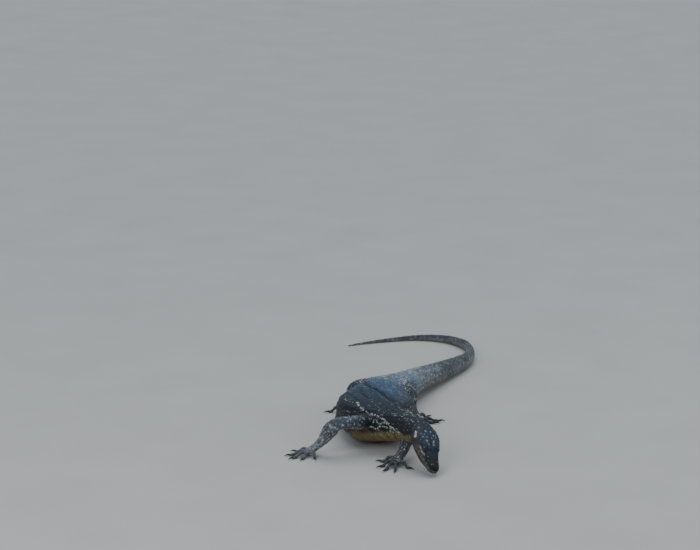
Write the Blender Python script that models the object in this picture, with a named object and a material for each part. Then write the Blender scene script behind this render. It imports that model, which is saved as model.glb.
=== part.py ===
"""Asian water monitor lizard, life size, with its snout low over the floor and its tail swept round.

Metres, +Z up. The animal faces -Y and its left side is +X. The origin is on the floor, under the middle of
the bounding box. The body is one long loft from snout to tail tip, parted by thin cuts; each limb is a loft
from the girdle to the knuckles, with five toes and five claws at its end.
"""

import math

import bmesh
import bpy
import numpy as np
from mathutils import Matrix, Vector

# ---------------------------------------------------------------- driving dimensions, metres and degrees
CUT = 0.0003  # width of the thin cuts between neighbouring pieces
BODY_SIDES = 24  # facets round the head, neck and trunk
TAIL_SIDES = 12
LIMB_SIDES = 12
TOE_SIDES = 6
CLAW_SIDES = 6
HEAD_ROLL = 16.0  # degrees that the head leans to its left
FLOOR = 0.0

# The midline from the snout tip to the tail tip.
ROUTE = (
    (0.0812, -0.4500, 0.0092),  # snout tip
    (0.0735, -0.4262, 0.0288),  # between the nostrils and the eyes
    (0.0682, -0.4035, 0.0492),  # behind the eyes
    (0.0600, -0.3750, 0.0635),  # nape
    (0.0345, -0.3340, 0.0620),  # middle of the neck
    (0.0060, -0.2880, 0.0500),  # shoulders
    (-0.0170, -0.2200, 0.0430),  # ribs
    (-0.0210, -0.1500, 0.0400),  # belly
    (-0.0090, -0.0700, 0.0370),  # loins
    (0.0270, 0.0000, 0.0330),  # hips
    (0.0560, 0.0460, 0.0310),  # tail root
    (0.0960, 0.1140, 0.0255),
    (0.1350, 0.1840, 0.0200),
    (0.1660, 0.2500, 0.0158),
    (0.1780, 0.3150, 0.0122),
    (0.1700, 0.3800, 0.0102),  # outside of the bend
    (0.1340, 0.4300, 0.0083),
    (0.0800, 0.4500, 0.0064),
    (0.0150, 0.4400, 0.0044),
    (-0.0750, 0.4040, 0.0020),  # tail tip
)

# Distance from the snout, half width, height above the midline, depth below it, squareness, crest.
# Squareness 2 is an ellipse and more is boxier; crest narrows the upper half to a ridge.
SECTIONS = (
    (0.0000, 0.0042, 0.0038, 0.0044, 2.2, 0.0),
    (0.0030, 0.0078, 0.0062, 0.0070, 2.3, 0.0),
    (0.0080, 0.0110, 0.0080, 0.0096, 2.5, 0.0),
    (0.0160, 0.0128, 0.0090, 0.0116, 2.7, 0.0),
    (0.0260, 0.0150, 0.0101, 0.0158, 2.8, 0.0),
    (0.0380, 0.0181, 0.0113, 0.0188, 2.8, 0.0),
    (0.0480, 0.0210, 0.0126, 0.0208, 2.7, 0.0),
    (0.0580, 0.0234, 0.0130, 0.0218, 2.6, 0.0),
    (0.0700, 0.0248, 0.0134, 0.0224, 2.5, 0.0),
    (0.0820, 0.0247, 0.0138, 0.0234, 2.4, 0.0),
    (0.0950, 0.0230, 0.0148, 0.0242, 2.3, 0.0),
    (0.1200, 0.0246, 0.0170, 0.0280, 2.2, 0.0),
    (0.1550, 0.0280, 0.0210, 0.0300, 2.2, 0.0),
    (0.1850, 0.0370, 0.0258, 0.0310, 2.3, 0.0),
    (0.2150, 0.0490, 0.0305, 0.0345, 2.5, 0.0),
    (0.2500, 0.0630, 0.0335, 0.0415, 3.1, 0.0),
    (0.2900, 0.0712, 0.0345, 0.0395, 3.1, 0.0),
    (0.3350, 0.0745, 0.0345, 0.0370, 2.6, 0.0),
    (0.3900, 0.0625, 0.0340, 0.0335, 2.1, 0.0),
    (0.4400, 0.0470, 0.0320, 0.0310, 2.1, 0.0),
    (0.4900, 0.0360, 0.0295, 0.0290, 2.1, 0.0),
    (0.5300, 0.0290, 0.0272, 0.0275, 2.0, 0.05),
    (0.5700, 0.0230, 0.0252, 0.0250, 2.0, 0.12),
    (0.6400, 0.0170, 0.0222, 0.0220, 2.0, 0.22),
    (0.7200, 0.0132, 0.0185, 0.0180, 2.0, 0.30),
    (0.8200, 0.0100, 0.0140, 0.0140, 2.0, 0.35),
    (0.9200, 0.0072, 0.0105, 0.0110, 2.0, 0.35),
    (1.0200, 0.0048, 0.0072, 0.0076, 2.0, 0.30),
    (1.1200, 0.0028, 0.0040, 0.0046, 2.0, 0.15),
    (1.2040, 0.0013, 0.0016, 0.0024, 2.0, 0.0),
)
# Pieces of the body, each from one distance to the next.
BODY_CUTS = (
    ("head", 0.000, 0.092),
    ("neck", 0.092, 0.185),
    ("trunk", 0.185, 0.535),
    ("tail_root", 0.535, 0.640),
    ("tail_middle", 0.640, 0.745),
    ("tail_bend_near", 0.745, 0.835),
    ("tail_bend_far", 0.835, 0.925),
    ("tail_whip", 0.925, 1.050),
    ("tail_tip", 1.050, 1.204),
)
RING_STEP = {"head": 0.0066, "neck": 0.0115, "trunk": 0.0195}
TAIL_RING_STEP = 0.0130
LIMB_RING_STEP = 0.0115

# Head fittings, as (distance from the snout, to the side, above the midline).
EYE_AT = (0.0442, 0.0122, 0.0082)
EYE_RADIUS = 0.0046
BROW_AT, BROW_ANGLE, BROW_HEIGHT = 0.0490, 58.0, 0.0023
BROW_LENGTH, BROW_SPREAD = 0.0085, 20.0  # metres along the head, degrees round it
MOUTH_HEIGHT = -0.0014
MOUTH_CORNER = 0.0545

# Along a limb, 0 is the girdle, 1 the elbow or knee, 2 the wrist or ankle and 3 the knuckles. Then come the
# half width, along the joint's hinge and flat across the palm, and the half thickness.
ARM_SECTIONS = (
    (0.00, 0.0165, 0.0165),
    (0.40, 0.0136, 0.0134),
    (0.75, 0.0120, 0.0118),
    (1.00, 0.0126, 0.0120),
    (1.25, 0.0142, 0.0134),
    (1.60, 0.0126, 0.0114),
    (2.00, 0.0098, 0.0082),
    (2.40, 0.0114, 0.0068),
    (2.85, 0.0122, 0.0052),
    (3.00, 0.0092, 0.0038),
)
LEG_SECTIONS = (
    (0.00, 0.0220, 0.0210),
    (0.45, 0.0180, 0.0172),
    (0.85, 0.0146, 0.0142),
    (1.00, 0.0140, 0.0138),
    (1.30, 0.0138, 0.0132),
    (1.65, 0.0104, 0.0098),
    (2.00, 0.0084, 0.0080),
    (2.40, 0.0094, 0.0066),
    (2.85, 0.0114, 0.0054),
    (3.00, 0.0090, 0.0038),
)
# Where each toe starts, from the inner toe to the outer: back from the knuckles, and outward from the middle.
HAND_ROOTS = ((0.0160, -0.0080), (0.0060, -0.0058), (0.0035, 0.0), (0.0050, 0.0054), (0.0100, 0.0086))
FOOT_ROOTS = ((0.0100, -0.0078), (0.0050, -0.0052), (0.0025, -0.0006), (0.0040, 0.0046), (0.0180, 0.0074))
# Toe angles are degrees outward from the foot's heading.
LIMBS = {
    "right_fore": dict(
        joints=(
            (-0.022, -0.288, 0.054), (-0.096, -0.330, 0.0635),
            (-0.126, -0.323, 0.020), (-0.152, -0.326, 0.0042),
        ),
        sections=ARM_SECTIONS,
        rounding=0.026,
        names=("right_upper_arm", "right_forearm", "right_hand"),
        toe_roots=HAND_ROOTS,
        toe_angles=(-96, -58, -34, -11, 26),
        toe_lengths=(0.018, 0.026, 0.035, 0.035, 0.028),
    ),
    "left_fore": dict(
        joints=(
            (0.034, -0.266, 0.054), (0.044, -0.318, 0.064),
            (0.027, -0.370, 0.0215), (0.007, -0.388, 0.0044),
        ),
        sections=ARM_SECTIONS,
        rounding=0.026,
        names=("left_upper_arm", "left_forearm", "left_hand"),
        toe_roots=HAND_ROOTS,
        toe_angles=(-58, -6, 20, 42, 96),
        toe_lengths=(0.028, 0.028, 0.036, 0.034, 0.026),
    ),
    "right_hind": dict(
        joints=(
            (0.018, 0.006, 0.037), (-0.061, -0.062, 0.053),
            (-0.068, -0.036, 0.018), (-0.089, -0.074, 0.0046),
        ),
        sections=LEG_SECTIONS,
        rounding=0.034,
        names=("right_thigh", "right_shank", "right_foot"),
        toe_roots=FOOT_ROOTS,
        toe_angles=(-50, -36, -28, -20, 44),
        toe_lengths=(0.018, 0.026, 0.035, 0.040, 0.026),
    ),
    "left_hind": dict(
        joints=(
            (0.040, -0.004, 0.036), (0.045, -0.062, 0.049),
            (0.049, -0.098, 0.018), (0.059, -0.130, 0.0046),
        ),
        sections=LEG_SECTIONS,
        rounding=0.034,
        names=("left_thigh", "left_shank", "left_foot"),
        toe_roots=FOOT_ROOTS,
        toe_angles=(6, 34, 62, 80, 118),
        toe_lengths=(0.018, 0.026, 0.035, 0.040, 0.026),
    ),
}
TOE_ROOT, TOE_TIP = 0.0040, 0.0028  # toe radii
CLAW_LENGTH, CLAW_ROOT, CLAW_TIP = 0.0105, 0.0018, 0.00035
CLAW_TURN = 52.0  # degrees that a claw curves down


# ---------------------------------------------------------------- paths and sections
def through(points, count):
    """Evenly spaced points on a smooth curve through these ones."""
    p = np.array(points, float)
    gap = np.sqrt(np.linalg.norm(np.diff(p, axis=0), axis=1))
    knots = np.concatenate([[0.0], np.cumsum(gap)])
    slope = np.gradient(p, knots, axis=0, edge_order=2)
    fine = np.linspace(0, knots[-1], 40 * len(p))
    i = np.clip(np.searchsorted(knots, fine, "right") - 1, 0, len(p) - 2)
    h = (knots[i + 1] - knots[i])[:, None]
    t = (fine - knots[i])[:, None] / h
    dense = (
        (2 * t**3 - 3 * t**2 + 1) * p[i]
        + (t**3 - 2 * t**2 + t) * h * slope[i]
        + (3 * t**2 - 2 * t**3) * p[i + 1]
        + (t**3 - t**2) * h * slope[i + 1]
    )
    return evenly(dense, count)


def evenly(points, count):
    """The same line with its points at equal distances."""
    far = np.concatenate([[0.0], np.cumsum(np.linalg.norm(np.diff(points, axis=0), axis=1))])
    at = np.linspace(0, far[-1], count)
    return np.stack([np.interp(at, far, points[:, k]) for k in range(3)], 1)


def rounded(points, width, count=240):
    """A line through these points with its corners rounded over about this width."""
    line = evenly(np.array(points, float), count)
    length = np.linalg.norm(np.diff(line, axis=0), axis=1).sum()
    reach = max(1, int(width / length * count))
    ahead = line[-1] + (line[-1] - line[-2]) * np.arange(1, reach + 1)[:, None]
    behind = line[0] - (line[1] - line[0]) * np.arange(reach, 0, -1)[:, None]
    weight = np.hanning(2 * reach + 3)[1:-1]
    padded = np.vstack([behind, line, ahead])
    smooth = [np.convolve(padded[:, k], weight / weight.sum(), "valid") for k in range(3)]
    return evenly(np.stack(smooth, 1), count)


def eased(table, at):
    """Values of a table's columns at these places, by a curve that never overshoots its rows."""
    rows = np.array(table, float)
    x, y = rows[:, 0], rows[:, 1:]
    step = np.diff(x)[:, None]
    rise = np.diff(y, axis=0) / step
    slope = np.zeros_like(y)
    turn = rise[:-1] * rise[1:] > 0
    mean = 2 * rise[:-1] * rise[1:] / np.where(turn, rise[:-1] + rise[1:], 1)
    slope[1:-1] = np.where(turn, mean, 0)
    slope[0], slope[-1] = rise[0], rise[-1]
    at = np.clip(np.asarray(at, float), x[0], x[-1])
    i = np.clip(np.searchsorted(x, at, "right") - 1, 0, len(x) - 2)
    t = ((at - x[i]) / step[i, 0])[:, None]
    return (
        (2 * t**3 - 3 * t**2 + 1) * y[i]
        + (t**3 - 2 * t**2 + t) * step[i] * slope[i]
        + (3 * t**2 - 2 * t**3) * y[i + 1]
        + (t**3 - t**2) * step[i] * slope[i + 1]
    )


def unit(v):
    return v / np.maximum(np.linalg.norm(v, axis=-1, keepdims=True), 1e-12)


class Path:
    """A line with, at each point, the way ahead, the way across and the way up."""

    def __init__(self, points, across, roll=None):
        self.points = points
        step = np.linalg.norm(np.diff(points, axis=0), axis=1)
        self.far = np.concatenate([[0.0], np.cumsum(step)])
        self.ahead = unit(np.gradient(points, self.far, axis=0))
        across = np.broadcast_to(across, points.shape)
        side = unit(across - self.ahead * (across * self.ahead).sum(1, keepdims=True))
        up = np.cross(self.ahead, side)
        turn = np.radians(roll(self.far) if roll else 0 * self.far)[:, None]
        self.side = side * np.cos(turn) + up * np.sin(turn)
        self.up = up * np.cos(turn) - side * np.sin(turn)

    @property
    def length(self):
        return self.far[-1]

    def at(self, far):
        """The point and its three directions at these distances."""
        def read(column):
            return np.stack([np.interp(far, self.far, column[:, k]) for k in range(3)], -1)

        return read(self.points), unit(read(self.ahead)), unit(read(self.side)), unit(read(self.up))


def superellipse(angle, half_width, above, below, squareness, crest):
    """Across and up at an angle round a section: 0 is the left side, a quarter turn the back."""
    c, s = np.cos(angle), np.sin(angle)
    power = 2 / squareness
    across = half_width * np.sign(c) * np.abs(c) ** power
    up = np.where(s > 0, above, below) * np.sign(s) * np.abs(s) ** power
    return across * (1 - crest * np.clip(s, 0, 1) ** 2), up


def head_turn(far):
    """Degrees of roll: all of it on the head, none by the shoulders."""
    return HEAD_ROLL * np.clip((0.20 - far) / 0.11, 0, 1)


def body_path():
    points = through(ROUTE, 1200)
    tangent = unit(np.gradient(points, axis=0))
    left = np.cross(tangent, (0.0, 0.0, 1.0))  # the path runs tailward, so this is the animal's left
    return Path(points, left, head_turn)


def body_ring(path, far, sides):
    """One section of the body as points in space."""
    angle = (np.arange(sides) + 0.5) * 2 * math.pi / sides  # half a step round, so a facet lies underneath
    width, above, below, squareness, crest = eased(SECTIONS, [far])[0]
    across, up = superellipse(angle, width, above, below, squareness, crest)
    bump = np.exp(-(((far - BROW_AT) / BROW_LENGTH) ** 2))
    for side in (BROW_ANGLE, 180 - BROW_ANGLE):
        near = np.exp(-(((np.degrees(angle) - side) / BROW_SPREAD) ** 2)) * bump * BROW_HEIGHT
        across = across + near * np.cos(angle)
        up = up + near * np.sin(angle)
    point, _, side_way, up_way = path.at(far)
    # the path runs tailward, so up is side x ahead reversed
    return point + across[:, None] * side_way - up[:, None] * up_way


# ---------------------------------------------------------------- meshes
def loft(rings):
    """A closed solid through rings of points, by extruding the first ring's edge from each to the next."""
    bm = bmesh.new()
    made = bmesh.ops.create_circle(bm, cap_ends=False, segments=len(rings[0]), radius=1.0)
    ring = made["verts"]
    for vertex, place in zip(ring, rings[0]):
        vertex.co = place
    edges = bm.edges[:]
    bmesh.ops.contextual_create(bm, geom=ring)
    for places in rings[1:]:
        out = bmesh.ops.extrude_edge_only(bm, edges=edges)["geom"]
        edges = [g for g in out if isinstance(g, bmesh.types.BMEdge)]
        # the new vertices keep the order of the old ring
        ring_next = [v for v in out if isinstance(v, bmesh.types.BMVert)]
        order = {v: k for k, v in enumerate(ring)}
        placed = []
        for new in ring_next:
            old = next(e.other_vert(new) for e in new.link_edges if e.other_vert(new) in order)
            placed.append((order[old], new))
        placed.sort(key=lambda pair: pair[0])
        ring = [new for _, new in placed]
        for vertex, place in zip(ring, places):
            vertex.co = place
    bmesh.ops.contextual_create(bm, geom=ring)
    bmesh.ops.recalc_face_normals(bm, faces=bm.faces)
    bmesh.ops.triangulate(bm, faces=[f for f in bm.faces if len(f.verts) > 4])
    return bm


def settle(bm, lowest=FLOOR):
    """Flattens what would be under the floor, so that the part rests on small flats."""
    for vertex in bm.verts:
        vertex.co.z = max(vertex.co.z, lowest)


def add_object(name, bm, material):
    mesh = bpy.data.meshes.new(name)
    bm.to_mesh(mesh)
    bm.free()
    mesh.materials.append(material)
    obj = bpy.data.objects.new(name, mesh)
    bpy.context.scene.collection.objects.link(obj)
    mesh.shade_smooth()
    mesh.set_sharp_from_angle(angle=math.radians(40))
    return obj


def as_cutter(obj):
    obj.hide_render = True
    obj.display_type = "WIRE"
    return obj


def grown(obj, by=CUT):
    """A hidden copy of a piece, a thin cut larger all round."""
    copy = bpy.data.objects.new(obj.name + "_cutter", obj.data.copy())
    bpy.context.scene.collection.objects.link(copy)
    swell = copy.modifiers.new("swell", "DISPLACE")
    swell.strength, swell.mid_level, swell.direction = by, 0.0, "NORMAL"
    return as_cutter(copy)


def boolean(obj, operation, other):
    modifier = obj.modifiers.new(operation.lower(), "BOOLEAN")
    modifier.operation, modifier.object, modifier.solver = operation, other, "EXACT"
    modifier.use_self = operation == "UNION"
    return obj


def material(name, colour, roughness):
    made = bpy.data.materials.new(name)
    made.use_nodes = True
    shader = made.node_tree.nodes["Principled BSDF"]
    shader.inputs["Base Color"].default_value = (*colour, 1.0)
    shader.inputs["Roughness"].default_value = roughness
    shader.inputs["Metallic"].default_value = 0.0
    return made


# ---------------------------------------------------------------- the body
def body_span(path, start, end, sides, step):
    """Rings from one distance to another, each end drawn back by half a cut."""
    count = max(2, round((end - start) / step))
    places = np.linspace(start, end, count + 1)
    places[0] += CUT / 2 if start > 0 else 0
    places[-1] -= CUT / 2 if end < SECTIONS[-1][0] else 0
    if start == 0:  # closer rings where the snout rounds over
        places = np.concatenate([[0.0, 0.0012, 0.0030], places[places > 0.0045]])
    return [body_ring(path, far, sides) for far in places]


def make_body(path, scaly):
    made = {}
    for name, start, end in BODY_CUTS:
        tail = name.startswith("tail")
        sides = TAIL_SIDES if tail else BODY_SIDES
        bm = loft(body_span(path, start, end, sides, TAIL_RING_STEP if tail else RING_STEP[name]))
        settle(bm)
        made[name] = add_object(name, bm, scaly)
    return made


def head_point(path, place, mirrored=1):
    """A place on the head, given from the snout tip, to the side and above the midline, in space."""
    far, aside, above = place
    point, _, side_way, up_way = path.at(far)
    return Vector(point + mirrored * aside * side_way - above * up_way)


def head_matrix(path, far):
    """The head's own axes at this distance: X to its left, Y tailward, Z up."""
    point, ahead, side_way, up_way = path.at(far)
    return Matrix.Translation(point) @ Matrix((side_way, ahead, -up_way)).transposed().to_4x4()


def make_eyes(path, head, wet):
    for name, mirrored in (("left_eye", 1), ("right_eye", -1)):
        bm = bmesh.new()
        bmesh.ops.create_uvsphere(bm, u_segments=12, v_segments=7, radius=EYE_RADIUS)
        bm.transform(Matrix.Translation(head_point(path, EYE_AT, mirrored)))
        eye = add_object(name, bm, wet)
        boolean(head, "DIFFERENCE", grown(eye))


def make_jaw(path, head, scaly):
    """Parts the lower jaw from the head along the mouth line, back to the corner of the mouth."""
    bm = bmesh.new()
    bmesh.ops.create_cube(bm, size=1.0)
    depth = 0.030
    bm.transform(Matrix.Diagonal((0.080, MOUTH_CORNER + 0.020, depth, 1.0)))
    bm.transform(Matrix.Translation((0.0, -0.010 - MOUTH_CORNER / 2, MOUTH_HEIGHT - depth / 2)))
    bm.transform(head_matrix(path, MOUTH_CORNER))
    block = as_cutter(add_object("jaw_block", bm, scaly))
    jaw = bpy.data.objects.new("lower_jaw", head.data.copy())
    bpy.context.scene.collection.objects.link(jaw)
    boolean(jaw, "INTERSECT", block)
    boolean(head, "DIFFERENCE", grown(block))
    return jaw


# ---------------------------------------------------------------- limbs, toes and claws
def joint_distances(points, joints):
    """How far along the line each joint is."""
    far = np.concatenate([[0.0], np.cumsum(np.linalg.norm(np.diff(points, axis=0), axis=1))])
    inner = [far[np.argmin(np.linalg.norm(points - joint, axis=1))] for joint in joints[1:-1]]
    return np.array([0.0, *inner, far[-1]])


def limb_path(limb):
    """The limb's line, with its way across along the elbow's hinge and flat across the palm."""
    girdle, elbow, wrist, knuckles = (np.array(j) for j in limb["joints"])
    points = rounded(limb["joints"], limb["rounding"])
    joints = joint_distances(points, (girdle, elbow, wrist, knuckles))
    hinge = unit(np.cross(elbow - girdle, wrist - elbow))
    flat = unit(np.cross(knuckles - wrist, (0.0, 0.0, 1.0)))
    if hinge @ flat < 0:
        hinge = -hinge
    place = np.interp(np.linspace(0, joints[-1], len(points)), joints, range(4))[:, None]
    blend = np.clip((place - 1.35) / 0.65, 0, 1)
    blend = blend * blend * (3 - 2 * blend)
    path = Path(points, unit(hinge * (1 - blend) + flat * blend))
    path.joints = joints
    return path


def limb_ring(path, sections, far):
    angle = np.arange(LIMB_SIDES) * 2 * math.pi / LIMB_SIDES
    width, thickness = eased(sections, [np.interp(far, path.joints, range(4))])[0]
    point, _, side_way, up_way = path.at(far)
    return point + (width * np.cos(angle))[:, None] * side_way + (thickness * np.sin(angle))[:, None] * up_way


def limb_span(path, sections, number):
    """Rings from one joint to the next, drawn back by half a cut where another piece follows."""
    start, end = path.joints[number], path.joints[number + 1]
    places = np.linspace(start, end, max(3, round((end - start) / LIMB_RING_STEP)) + 1)
    places[0] += CUT / 2 if number > 0 else 0
    places[-1] -= CUT / 2 if number < 2 else 0
    return [limb_ring(path, sections, far) for far in places]


def round_rings(points, radii, sides, across, flatten=1.0):
    """Rings of these radii along a short path."""
    path = Path(np.array(points, float), np.array(across, float))
    angle = np.arange(sides) * 2 * math.pi / sides
    rings = []
    for k, radius in enumerate(radii):
        way = np.cos(angle)[:, None] * path.side[k] + flatten * np.sin(angle)[:, None] * path.up[k]
        rings.append(path.points[k] + radius * way)
    return rings


def toe_line(root, heading, length):
    """From the knuckles, up over the joint and down to the floor."""
    share = np.linspace(0, 1, 6)
    down = np.minimum(share * 1.25, 1.0)
    along = root[None, :2] + share[:, None] * length * heading[None, :2]
    rest = TOE_TIP - 0.0003
    height = rest + (root[2] - rest) * np.cos(math.pi / 2 * down) ** 2 + 0.0042 * np.sin(math.pi * down) ** 2
    return np.column_stack([along, height])


def toe_radii(count):
    """Thinner towards the tip, with a swelling at each joint."""
    share = np.linspace(0, 1, count)
    return TOE_ROOT + (TOE_TIP - TOE_ROOT) * share + 0.0003 * np.cos(2 * math.pi * 2.5 * share)


def claw_line(root, ahead, count=4):
    """An arc from the toe's tip that curves down through CLAW_TURN."""
    turn = math.radians(CLAW_TURN)
    radius = CLAW_LENGTH / turn
    level = unit(np.array([ahead[0], ahead[1], 0.0]))
    lift = math.radians(18)
    at = np.linspace(0, turn, count)
    out = radius * (np.sin(at - lift) + math.sin(lift))
    drop = radius * (np.cos(at - lift) - math.cos(lift))
    return root + out[:, None] * level + drop[:, None] * np.array([0.0, 0.0, 1.0])


def make_toes(name, limb, path, foot, scaly, horn):
    """Joins five toes to the foot and sets a claw on the end of each."""
    knuckles, ahead, side_way, _ = path.at(path.length)
    flat_ahead = unit(np.array([ahead[0], ahead[1], 0.0]))
    across = unit(np.cross(flat_ahead, (0.0, 0.0, 1.0)))
    outward = across if name.startswith("right") else -across
    toes = zip(limb["toe_roots"], limb["toe_angles"], limb["toe_lengths"])
    for number, ((back, aside), angle, length) in enumerate(toes):
        turn = math.radians(angle)
        heading = flat_ahead * math.cos(turn) + outward * math.sin(turn)
        palm = path.at(path.length - back)[0]
        root = palm + outward * aside
        root[2] = max(TOE_ROOT, 0.85 * palm[2])
        line = toe_line(root, heading, length)
        level_side = np.cross(heading, (0.0, 0.0, 1.0))
        bm = loft(round_rings(line, toe_radii(len(line)), TOE_SIDES, level_side))
        toe = as_cutter(add_object(f"{name}_toe_{number + 1}", bm, scaly))
        boolean(foot, "UNION", toe)
        end_way = unit(line[-1] - line[-2])
        start = line[-1] + end_way * (CUT + 0.0005)
        claw = claw_line(start, end_way)
        share = np.linspace(0, 1, len(claw))
        radii = CLAW_ROOT + (CLAW_TIP - CLAW_ROOT) * share**1.15
        bm = loft(round_rings(claw, radii, CLAW_SIDES, level_side, 1.15))
        add_object(f"{name}_claw_{number + 1}", bm, horn)


def ground_block(scaly):
    """What lies under the floor, to cut the soles flat."""
    bm = bmesh.new()
    bmesh.ops.create_cube(bm, size=1.0)
    bm.transform(Matrix.Translation((0.0, 0.0, FLOOR - 0.5)))
    return as_cutter(add_object("ground_block", bm, scaly))


def make_limb(limb, cutters, ground, scaly, horn):
    path = limb_path(limb)
    neighbours = list(cutters)
    for number, name in enumerate(limb["names"]):
        piece = add_object(name, loft(limb_span(path, limb["sections"], number)), scaly)
        if number == 2:
            make_toes(name, limb, path, piece, scaly, horn)
            boolean(piece, "DIFFERENCE", ground)
        for cutter in neighbours:
            boolean(piece, "DIFFERENCE", cutter)
        neighbours = [*cutters, grown(piece, 3 * CUT)]


def clear_scene():
    for obj in list(bpy.data.objects):
        bpy.data.objects.remove(obj, do_unlink=True)


def main():
    clear_scene()
    scaly = material("scaly_skin", (0.045, 0.052, 0.062), 0.45)
    horn = material("claw_horn", (0.020, 0.018, 0.016), 0.30)
    wet = material("wet_eye", (0.030, 0.018, 0.010), 0.05)
    path = body_path()
    body = make_body(path, scaly)
    make_jaw(path, body["head"], scaly)
    make_eyes(path, body["head"], wet)
    cutters = [grown(body[name]) for name in ("trunk", "neck")]
    ground = ground_block(scaly)
    for limb in LIMBS.values():
        make_limb(limb, cutters, ground, scaly, horn)


main()
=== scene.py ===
"""Looks of an Asian water monitor: one skin over the whole body, a coat of scales, two eyes and twenty claws.

Metres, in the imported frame. The body is a tube round a midline, and each limb and toe is a tube of its own.
The skin joins them, and every fold, scale and marking is placed by its distance along a tube and by its place
round it. The body's distances start at the snout. "Rise" is degrees above the body's side, so 90 is the back.
"""

import math

import bmesh
import bpy
import numpy as np
from mathutils import Matrix, Vector
from mathutils.bvhtree import BVHTree
from mathutils.kdtree import KDTree


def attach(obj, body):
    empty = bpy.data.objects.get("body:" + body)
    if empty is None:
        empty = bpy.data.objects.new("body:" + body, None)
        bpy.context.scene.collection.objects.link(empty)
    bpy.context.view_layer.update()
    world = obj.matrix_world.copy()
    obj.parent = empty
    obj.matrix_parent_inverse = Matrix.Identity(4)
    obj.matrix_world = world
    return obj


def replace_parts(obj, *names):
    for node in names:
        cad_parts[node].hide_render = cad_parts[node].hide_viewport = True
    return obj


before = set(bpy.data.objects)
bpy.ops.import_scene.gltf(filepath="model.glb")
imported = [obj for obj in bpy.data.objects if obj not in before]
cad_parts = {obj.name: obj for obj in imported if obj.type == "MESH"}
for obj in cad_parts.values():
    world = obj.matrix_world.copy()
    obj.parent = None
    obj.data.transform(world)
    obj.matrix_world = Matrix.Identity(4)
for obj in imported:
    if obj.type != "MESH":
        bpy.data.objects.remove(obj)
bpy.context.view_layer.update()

# ---------------------------------------------------------------- the body's forms, as the solids have them
COAT_DEPTH = 0.0006  # how far the skin lies inside the solids, for the scales
SKIN_VOXEL = 0.0012
SKIN_TRIANGLES = 190000
HEAD_ROLL = 16.0  # degrees that the head leans to its left
ROLL_STARTS, ROLL_OVER = 0.20, 0.11  # where on the neck the lean starts, and the length it takes
HEAD_END = 0.100
HEAD_HIND = -0.34  # the head is ahead of this place along Y
ROUTE = (
    (0.0812, -0.4500, 0.0092), (0.0735, -0.4262, 0.0288), (0.0682, -0.4035, 0.0492),
    (0.0600, -0.3750, 0.0635), (0.0345, -0.3340, 0.0620), (0.0060, -0.2880, 0.0500),
    (-0.0170, -0.2200, 0.0430), (-0.0210, -0.1500, 0.0400), (-0.0090, -0.0700, 0.0370),
    (0.0270, 0.0000, 0.0330), (0.0560, 0.0460, 0.0310), (0.0960, 0.1140, 0.0255),
    (0.1350, 0.1840, 0.0200), (0.1660, 0.2500, 0.0158), (0.1780, 0.3150, 0.0122),
    (0.1700, 0.3800, 0.0102), (0.1340, 0.4300, 0.0083), (0.0800, 0.4500, 0.0064),
    (0.0150, 0.4400, 0.0044), (-0.0750, 0.4040, 0.0020),
)
ROUTE_POINTS = 1200
# Distance from the snout, half width, height above the midline, depth below it, squareness, crest.
SECTIONS = (
    (0.0000, 0.0042, 0.0038, 0.0044, 2.2, 0.0), (0.0030, 0.0078, 0.0062, 0.0070, 2.3, 0.0),
    (0.0080, 0.0110, 0.0080, 0.0096, 2.5, 0.0), (0.0160, 0.0128, 0.0090, 0.0116, 2.7, 0.0),
    (0.0260, 0.0150, 0.0101, 0.0158, 2.8, 0.0), (0.0380, 0.0181, 0.0113, 0.0188, 2.8, 0.0),
    (0.0480, 0.0210, 0.0126, 0.0208, 2.7, 0.0), (0.0580, 0.0234, 0.0130, 0.0218, 2.6, 0.0),
    (0.0700, 0.0248, 0.0134, 0.0224, 2.5, 0.0), (0.0820, 0.0247, 0.0138, 0.0234, 2.4, 0.0),
    (0.0950, 0.0230, 0.0148, 0.0242, 2.3, 0.0), (0.1200, 0.0246, 0.0170, 0.0280, 2.2, 0.0),
    (0.1550, 0.0280, 0.0210, 0.0300, 2.2, 0.0), (0.1850, 0.0370, 0.0258, 0.0310, 2.3, 0.0),
    (0.2150, 0.0490, 0.0305, 0.0345, 2.5, 0.0), (0.2500, 0.0630, 0.0335, 0.0415, 3.1, 0.0),
    (0.2900, 0.0712, 0.0345, 0.0395, 3.1, 0.0), (0.3350, 0.0745, 0.0345, 0.0370, 2.6, 0.0),
    (0.3900, 0.0625, 0.0340, 0.0335, 2.1, 0.0), (0.4400, 0.0470, 0.0320, 0.0310, 2.1, 0.0),
    (0.4900, 0.0360, 0.0295, 0.0290, 2.1, 0.0), (0.5300, 0.0290, 0.0272, 0.0275, 2.0, 0.05),
    (0.5700, 0.0230, 0.0252, 0.0250, 2.0, 0.12), (0.6400, 0.0170, 0.0222, 0.0220, 2.0, 0.22),
    (0.7200, 0.0132, 0.0185, 0.0180, 2.0, 0.30), (0.8200, 0.0100, 0.0140, 0.0140, 2.0, 0.35),
    (0.9200, 0.0072, 0.0105, 0.0110, 2.0, 0.35), (1.0200, 0.0048, 0.0072, 0.0076, 2.0, 0.30),
    (1.1200, 0.0028, 0.0040, 0.0046, 2.0, 0.15), (1.2040, 0.0013, 0.0016, 0.0024, 2.0, 0.0),
)
BODY_END = 1.204
EYE_AT = (0.0442, 0.0122, 0.0082)
EYE_RADIUS = 0.0046
GAZE_UP, GAZE_FORWARD = 0.26, 0.20  # for one part to the side
BROW_AT, BROW_ANGLE, BROW_HEIGHT = 0.0490, 58.0, 0.0023
BROW_LENGTH, BROW_SPREAD = 0.0085, 20.0
MOUTH_HEIGHT, MOUTH_CORNER = -0.0014, 0.0545

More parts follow.
